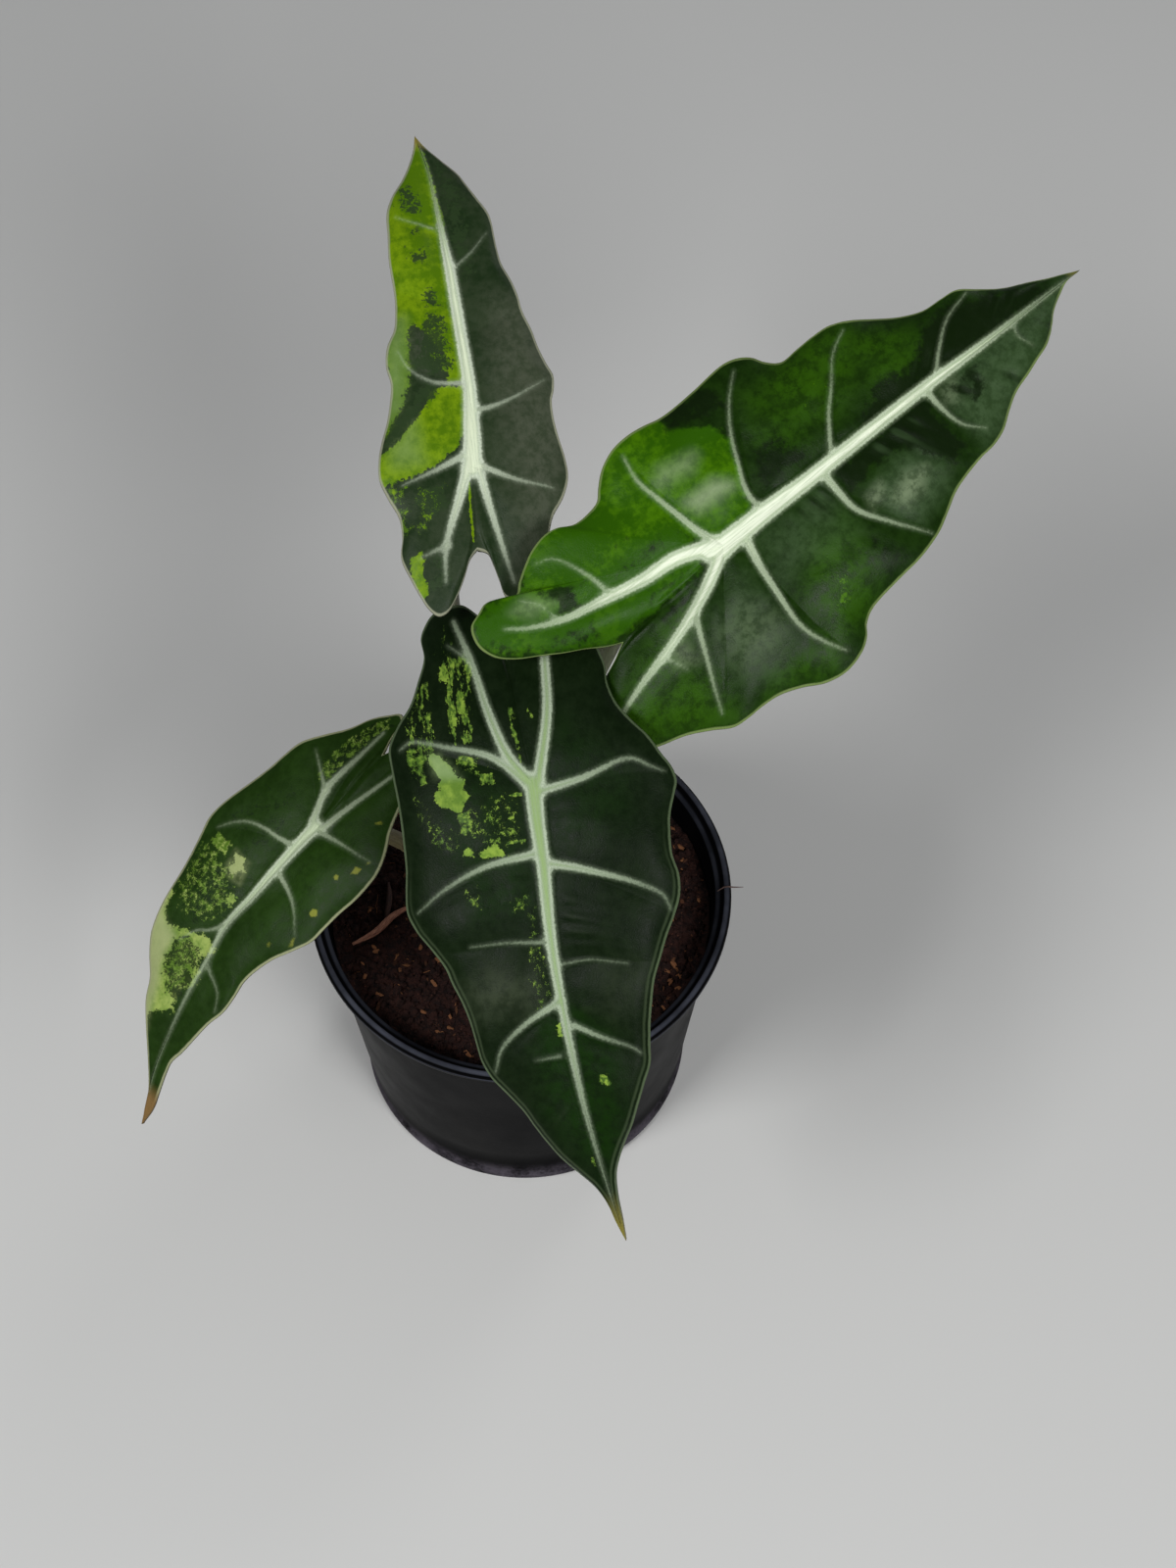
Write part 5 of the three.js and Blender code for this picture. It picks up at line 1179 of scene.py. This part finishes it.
soil = {
    "top": 79.5, "sunk": 0.6, "relief": 1.1, "rings": 90, "crowding": 0.8, "sectors": 300, "skirt": 1.5,
    "clearance": 0.3, "seed": 7,
    "crumbs": 4200, "crumbSizes": [0.35, 0.5, 0.65, 0.8, 1.0, 1.35], "bits": 420, "bitSizes": (0.5, 1),
    "crumbsFromWall": 2, "jitter": 0.25, "tilt": 0.5, "anyTurn": 6.28,
    "fibres": 160, "fibreSizes": (1.5, 4.5), "fibreRadii": (0.13, 0.07), "fibresFromWall": 5,
    "fibreBend": 0.9, "fibreSides": 5, "fibreCuts": 4,
    # size and strength of each layer of its noise
    "noises": [(0.09, 1.1), (0.33, 0.8), (0.9, 0.45), (2.1, 0.25)],
    "dark": (20, 10, 9), "brown": (46, 24, 19), "tan": (92, 56, 40), "crumb": (60, 33, 25),
    "bark": (130, 86, 56),
}
draw = np.random.default_rng(soil["seed"])


def soilHeight(x, y):
    rough = sum(amount * noise.noise(Vector((x, y, 0)) * scale) for scale, amount in soil["noises"])
    return soil["top"] - soil["sunk"] + soil["relief"] * rough


def buildSoil():
    inner, lower = (wallRadius(z) - pot["wall"] - soil["clearance"] for z in (soil["top"], pot["footTop"]))
    corner = pot["foot"] - pot["wall"] - pot["floorCorner"] - soil["clearance"]
    base = pot["floor"] + soil["clearance"]
    outline = [(inner, soil["top"] - soil["skirt"]), (lower, pot["footTop"]), (corner, base), (0, base)]
    bm = bmesh.new()
    bmesh.ops.create_grid(bm, x_segments=soil["sectors"], y_segments=soil["rings"] + len(outline), size=0.5)
    for vert in bm.verts:
        ring = round((vert.co.y + 0.5) * (soil["rings"] + len(outline)))
        angle = (vert.co.x + 0.5) * fullTurn
        onTop = ring <= soil["rings"]
        if onTop:
            radius = inner * (ring / soil["rings"]) ** soil["crowding"]
        else:
            radius, z = outline[ring - soil["rings"] - 1]
        x, y = radius * math.cos(angle), radius * math.sin(angle)
        if onTop:
            z = soilHeight(x, y)
        vert.co = Vector((x, y, z)) * mm
    bmesh.ops.remove_doubles(bm, verts=bm.verts, dist=pot["weld"])
    faceOutward(bm)
    return meshFrom(bm, "soil_bed")


# Copies of one small mesh in one piece: the vertices of each copy follow one another
def manyOf(name, bm, count):
    corners = len(bm.verts)
    for _ in range(math.ceil(math.log2(count))):
        again = meshFrom(bm, "copies")
        bm = bmesh.new()
        for _ in range(2):
            bm.from_mesh(again)
    bm.verts.ensure_lookup_table()
    bmesh.ops.delete(bm, geom=bm.verts[count * corners:], context="VERTS")
    mesh = meshFrom(bm, name, smooth=False)
    return mesh, coordinates(mesh).reshape(count, corners, 3)


def scatter(count, fromWall):
    radius = (wallRadius(soil["top"]) - pot["wall"] - fromWall) * np.sqrt(draw.random(count))
    angle = draw.uniform(0, fullTurn, count)
    return radius * np.cos(angle), radius * np.sin(angle)


def turned(a, b, angle):
    return a * np.cos(angle) - b * np.sin(angle), a * np.sin(angle) + b * np.cos(angle)


def setPlaces(mesh, place, tint):
    mesh.vertices.foreach_set("co", (place * mm).ravel())
    giveAttribute(mesh, "tint", np.repeat(tint, place.shape[1]))
    return mesh


# Small rounded blocks squashed and turned at random, sunk a little in the soil. The last are bits of bark.
def buildCrumbs():
    bm = bmesh.new()
    bmesh.ops.create_icosphere(bm, subdivisions=1, radius=1)
    count = soil["crumbs"] + soil["bits"]
    mesh, place = manyOf("soil_crumbs", bm, count)
    isBit = np.arange(count) >= soil["crumbs"]
    x, y = scatter(count, soil["crumbsFromWall"])
    size = np.where(isBit, draw.uniform(*soil["bitSizes"], count), draw.choice(soil["crumbSizes"], count))
    shape = np.stack([np.where(isBit, draw.uniform(1, 2, count), 1), draw.uniform(0.6, 1, count),
                      np.where(isBit, 0.45, draw.uniform(0.5, 0.85, count))], -1)
    place = place + draw.uniform(-soil["jitter"], soil["jitter"], place.shape)
    place *= (shape * size[:, None])[:, None, :]
    turn = draw.uniform(0, soil["anyTurn"], count)[:, None]
    tilt = draw.uniform(-soil["tilt"], soil["tilt"], count)[:, None]
    px, py, pz = place[..., 0], place[..., 1], place[..., 2]
    py, pz = turned(py, pz, tilt)
    px, py = turned(px, py, turn)
    level = np.array([soilHeight(*spot) for spot in zip(x, y)]) + 0.25 * size
    place = np.stack([px + x[:, None], py + y[:, None], pz + level[:, None]], -1)
    tint = np.where(isBit, draw.uniform(0.55, 1, count), draw.uniform(0, 0.45, count))
    return setPlaces(mesh, place, tint)


# Bent threads lying on the soil
def buildFibres():
    bm = bmesh.new()
    thick, thin = soil["fibreRadii"]
    bmesh.ops.create_cone(bm, cap_ends=True, segments=soil["fibreSides"], radius1=thick, radius2=thin,
                          depth=1)
    bmesh.ops.subdivide_edges(bm, edges=lengthwaysEdges(bm), cuts=soil["fibreCuts"])
    count = soil["fibres"]
    mesh, place = manyOf("soil_fibres", bm, count)
    x, y = scatter(count, soil["fibresFromWall"])
    size = draw.uniform(*soil["fibreSizes"], count)[:, None]
    shade = draw.uniform(0.35, 1, count)
    heading = draw.uniform(0, soil["anyTurn"], count)[:, None]
    across, up, along = place[..., 0], place[..., 1], place[..., 2]
    heading = heading + draw.uniform(-soil["fibreBend"], soil["fibreBend"], count)[:, None] * along
    px = x[:, None] + size * along * np.cos(heading)
    py = y[:, None] + size * along * np.sin(heading)
    level = np.array([soilHeight(*spot) for spot in zip(px.ravel(), py.ravel())]).reshape(px.shape)
    level += 0.5 + 0.25 * np.sin(5 * along + 9 * shade[:, None])
    px, py = px - across * np.sin(heading), py + across * np.cos(heading)
    return setPlaces(mesh, np.stack([px, py, level + up], -1), shade)


def soilMaterial(name, useTint):
    material, tree, shader = newMaterial(name)
    place = objectPlace(tree)
    coarse = noiseOf(tree, place, 420, 4, 0.65)
    fine = noiseOf(tree, place, 1500, 3, 0.7)
    earth = mixColour(tree, ramp(tree, coarse, 0.35, 0.65), soil["dark"], soil["brown"])
    earth = mixColour(tree, ramp(tree, fine, 0.6, 0.72), earth, soil["tan"])
    if useTint:
        tint = attribute(tree, "tint")
        earth = paintOver(tree, earth, (times(tree, tint, 0.35), soil["crumb"]),
                          (ramp(tree, tint, 0.5, 0.95), soil["bark"]))
    relief = plus(tree, coarse, times(tree, fine, 0.6))
    feed(tree, shader, {"Base Color": earth, "Roughness": 0.95, "Specular IOR Level": 0.25,
                        "Normal": bumpOf(tree, relief, 0.9, 0.0009)})
    return material


strewn = soilMaterial("soil bits", True)
addPiece("soil_bed", buildSoil(), soilMaterial("soil", False), "soil", "soil")
addPiece("soil_crumbs", buildCrumbs(), strewn, "soil")
addPiece("soil_fibres", buildFibres(), strewn, "soil")
print("soil")


# Dry sheath, a darker strap beside it and a fibre over the rim

strips = {
    "dry_sheath_strip": {
        "path": [(-48, -11.6, 80.2), (-41.5, -8, 80.9), (-36.5, -2.6, 81), (-31, 1.2, 80.5)], "wide": 1.05,
        "light": (196, 138, 112), "dark": (140, 90, 72), "nodes": ["dry_sheath"],
    },
    "bark_strap": {
        "path": [(-38.5, 9, 79.6), (-38, 4, 80.5), (-38.5, -2, 80.3), (-38.8, -5, 79.8)], "wide": 0.9,
        "light": (78, 50, 40), "dark": (46, 28, 24), "nodes": [],
    },
    "rim_fibre": {
        "path": [(55.5, 0.6, 88.6), (58.4, 0.9, 91.3), (60.5, 0.7, 91.4), (63.4, 1.3, 90.4)], "wide": 0.22,
        "light": (120, 96, 88), "dark": (84, 62, 54), "nodes": [],
    },
}


stripShape = {"segments": 14, "rings": 24, "endShare": 0.35, "blunt": 0.04}


# Widest in the middle, with blunt ends
def stripRadius(strip, f):
    share = min(max(f, stripShape["blunt"]), 1 - stripShape["blunt"])
    return strip["wide"] * (stripShape["endShare"] + (1 - stripShape["endShare"]) * math.sin(math.pi * share))


def stripMaterial(name, light, dark):
    material, tree, shader = newMaterial(name)
    thread = noiseOf(tree, barPlace(tree, 0.12)[0], 4.0, 4, 0.65)
    feed(tree, shader, {"Base Color": mixColour(tree, ramp(tree, thread, 0.38, 0.6), dark, light),
                        "Roughness": 0.8, "Normal": bumpOf(tree, thread, 0.8, 0.0004)})
    return material


for name, strip in strips.items():
    mesh = bentBar(name, strip["path"], lambda f: stripRadius(strip, f), stripShape["segments"],
                   stripShape["rings"])
    look = stripMaterial(name + " skin", strip["light"], strip["dark"])
    addPiece(name, mesh, look, "dry_sheath", *strip["nodes"])
print("strips")


# Stage, light and camera

studio = {
    "floorHalf": 3, "floor": (205, 205, 203), "floorTwo": (212, 212, 210),
    # lamps: where they aim, their width, place and watts
    "aim": (0.01, 0, 0.13), "lampSize": 0.5,
    "lamps": {"keySoft": ((0.55, -0.93, 1.06), 10), "fillSoft": ((-0.66, -0.68, 1.2), 10.5),
              "backSoft": ((0.9, 1.1, 0.9), 2.5)},
    "sky": (0.9, 0.94, 1, 1), "skyStrength": 0.13,
    "cameraPlace": (0.0192, -0.420, 0.8145), "down": 57.8, "lens": 67.5, "sensor": 36,
}


def addPlain(name, data, place=(0, 0, 0)):
    thing = bpy.data.objects.new(name, data)
    thing.location = place
    bpy.context.scene.collection.objects.link(thing)
    return thing


def paleFloor():
    bm = bmesh.new()
    bmesh.ops.create_grid(bm, x_segments=4, y_segments=4, size=studio["floorHalf"])
    floor = addPlain("floor", meshFrom(bm, "floor"))
    material, tree, shader = newMaterial("pale floor")
    cloud = noiseOf(tree, objectPlace(tree), 3, 2, 0.5)
    tone = mixColour(tree, cloud, studio["floor"], studio["floorTwo"])
    feed(tree, shader, {"Base Color": tone, "Roughness": 0.8})
    floor.data.materials.append(material)


def softLight(name, place, watts):
    lamp = bpy.data.lights.new(name, "AREA")
    lamp.shape, lamp.size, lamp.energy = "DISK", studio["lampSize"], watts
    turn = (Vector(studio["aim"]) - Vector(place)).to_track_quat("-Z", "Y")
    addPlain(name, lamp, place).rotation_euler = turn.to_euler()


def softSky():
    world = bpy.data.worlds.new("studio")
    world.use_nodes = True
    background = world.node_tree.nodes["Background"]
    feed(world.node_tree, background, {"Color": studio["sky"], "Strength": studio["skyStrength"]})
    bpy.context.scene.world = world
    bpy.context.scene.view_settings.view_transform = "Standard"


paleFloor()
for name, (place, watts) in studio["lamps"].items():
    softLight(name, place, watts)
softSky()
camera = addPlain("camera", bpy.data.cameras.new("camera"), studio["cameraPlace"])
camera.data.lens = studio["lens"]
camera.data.sensor_width = studio["sensor"]
camera.rotation_euler = (math.radians(90 - studio["down"]), 0, 0)
bpy.context.scene.camera = camera
print("stage")
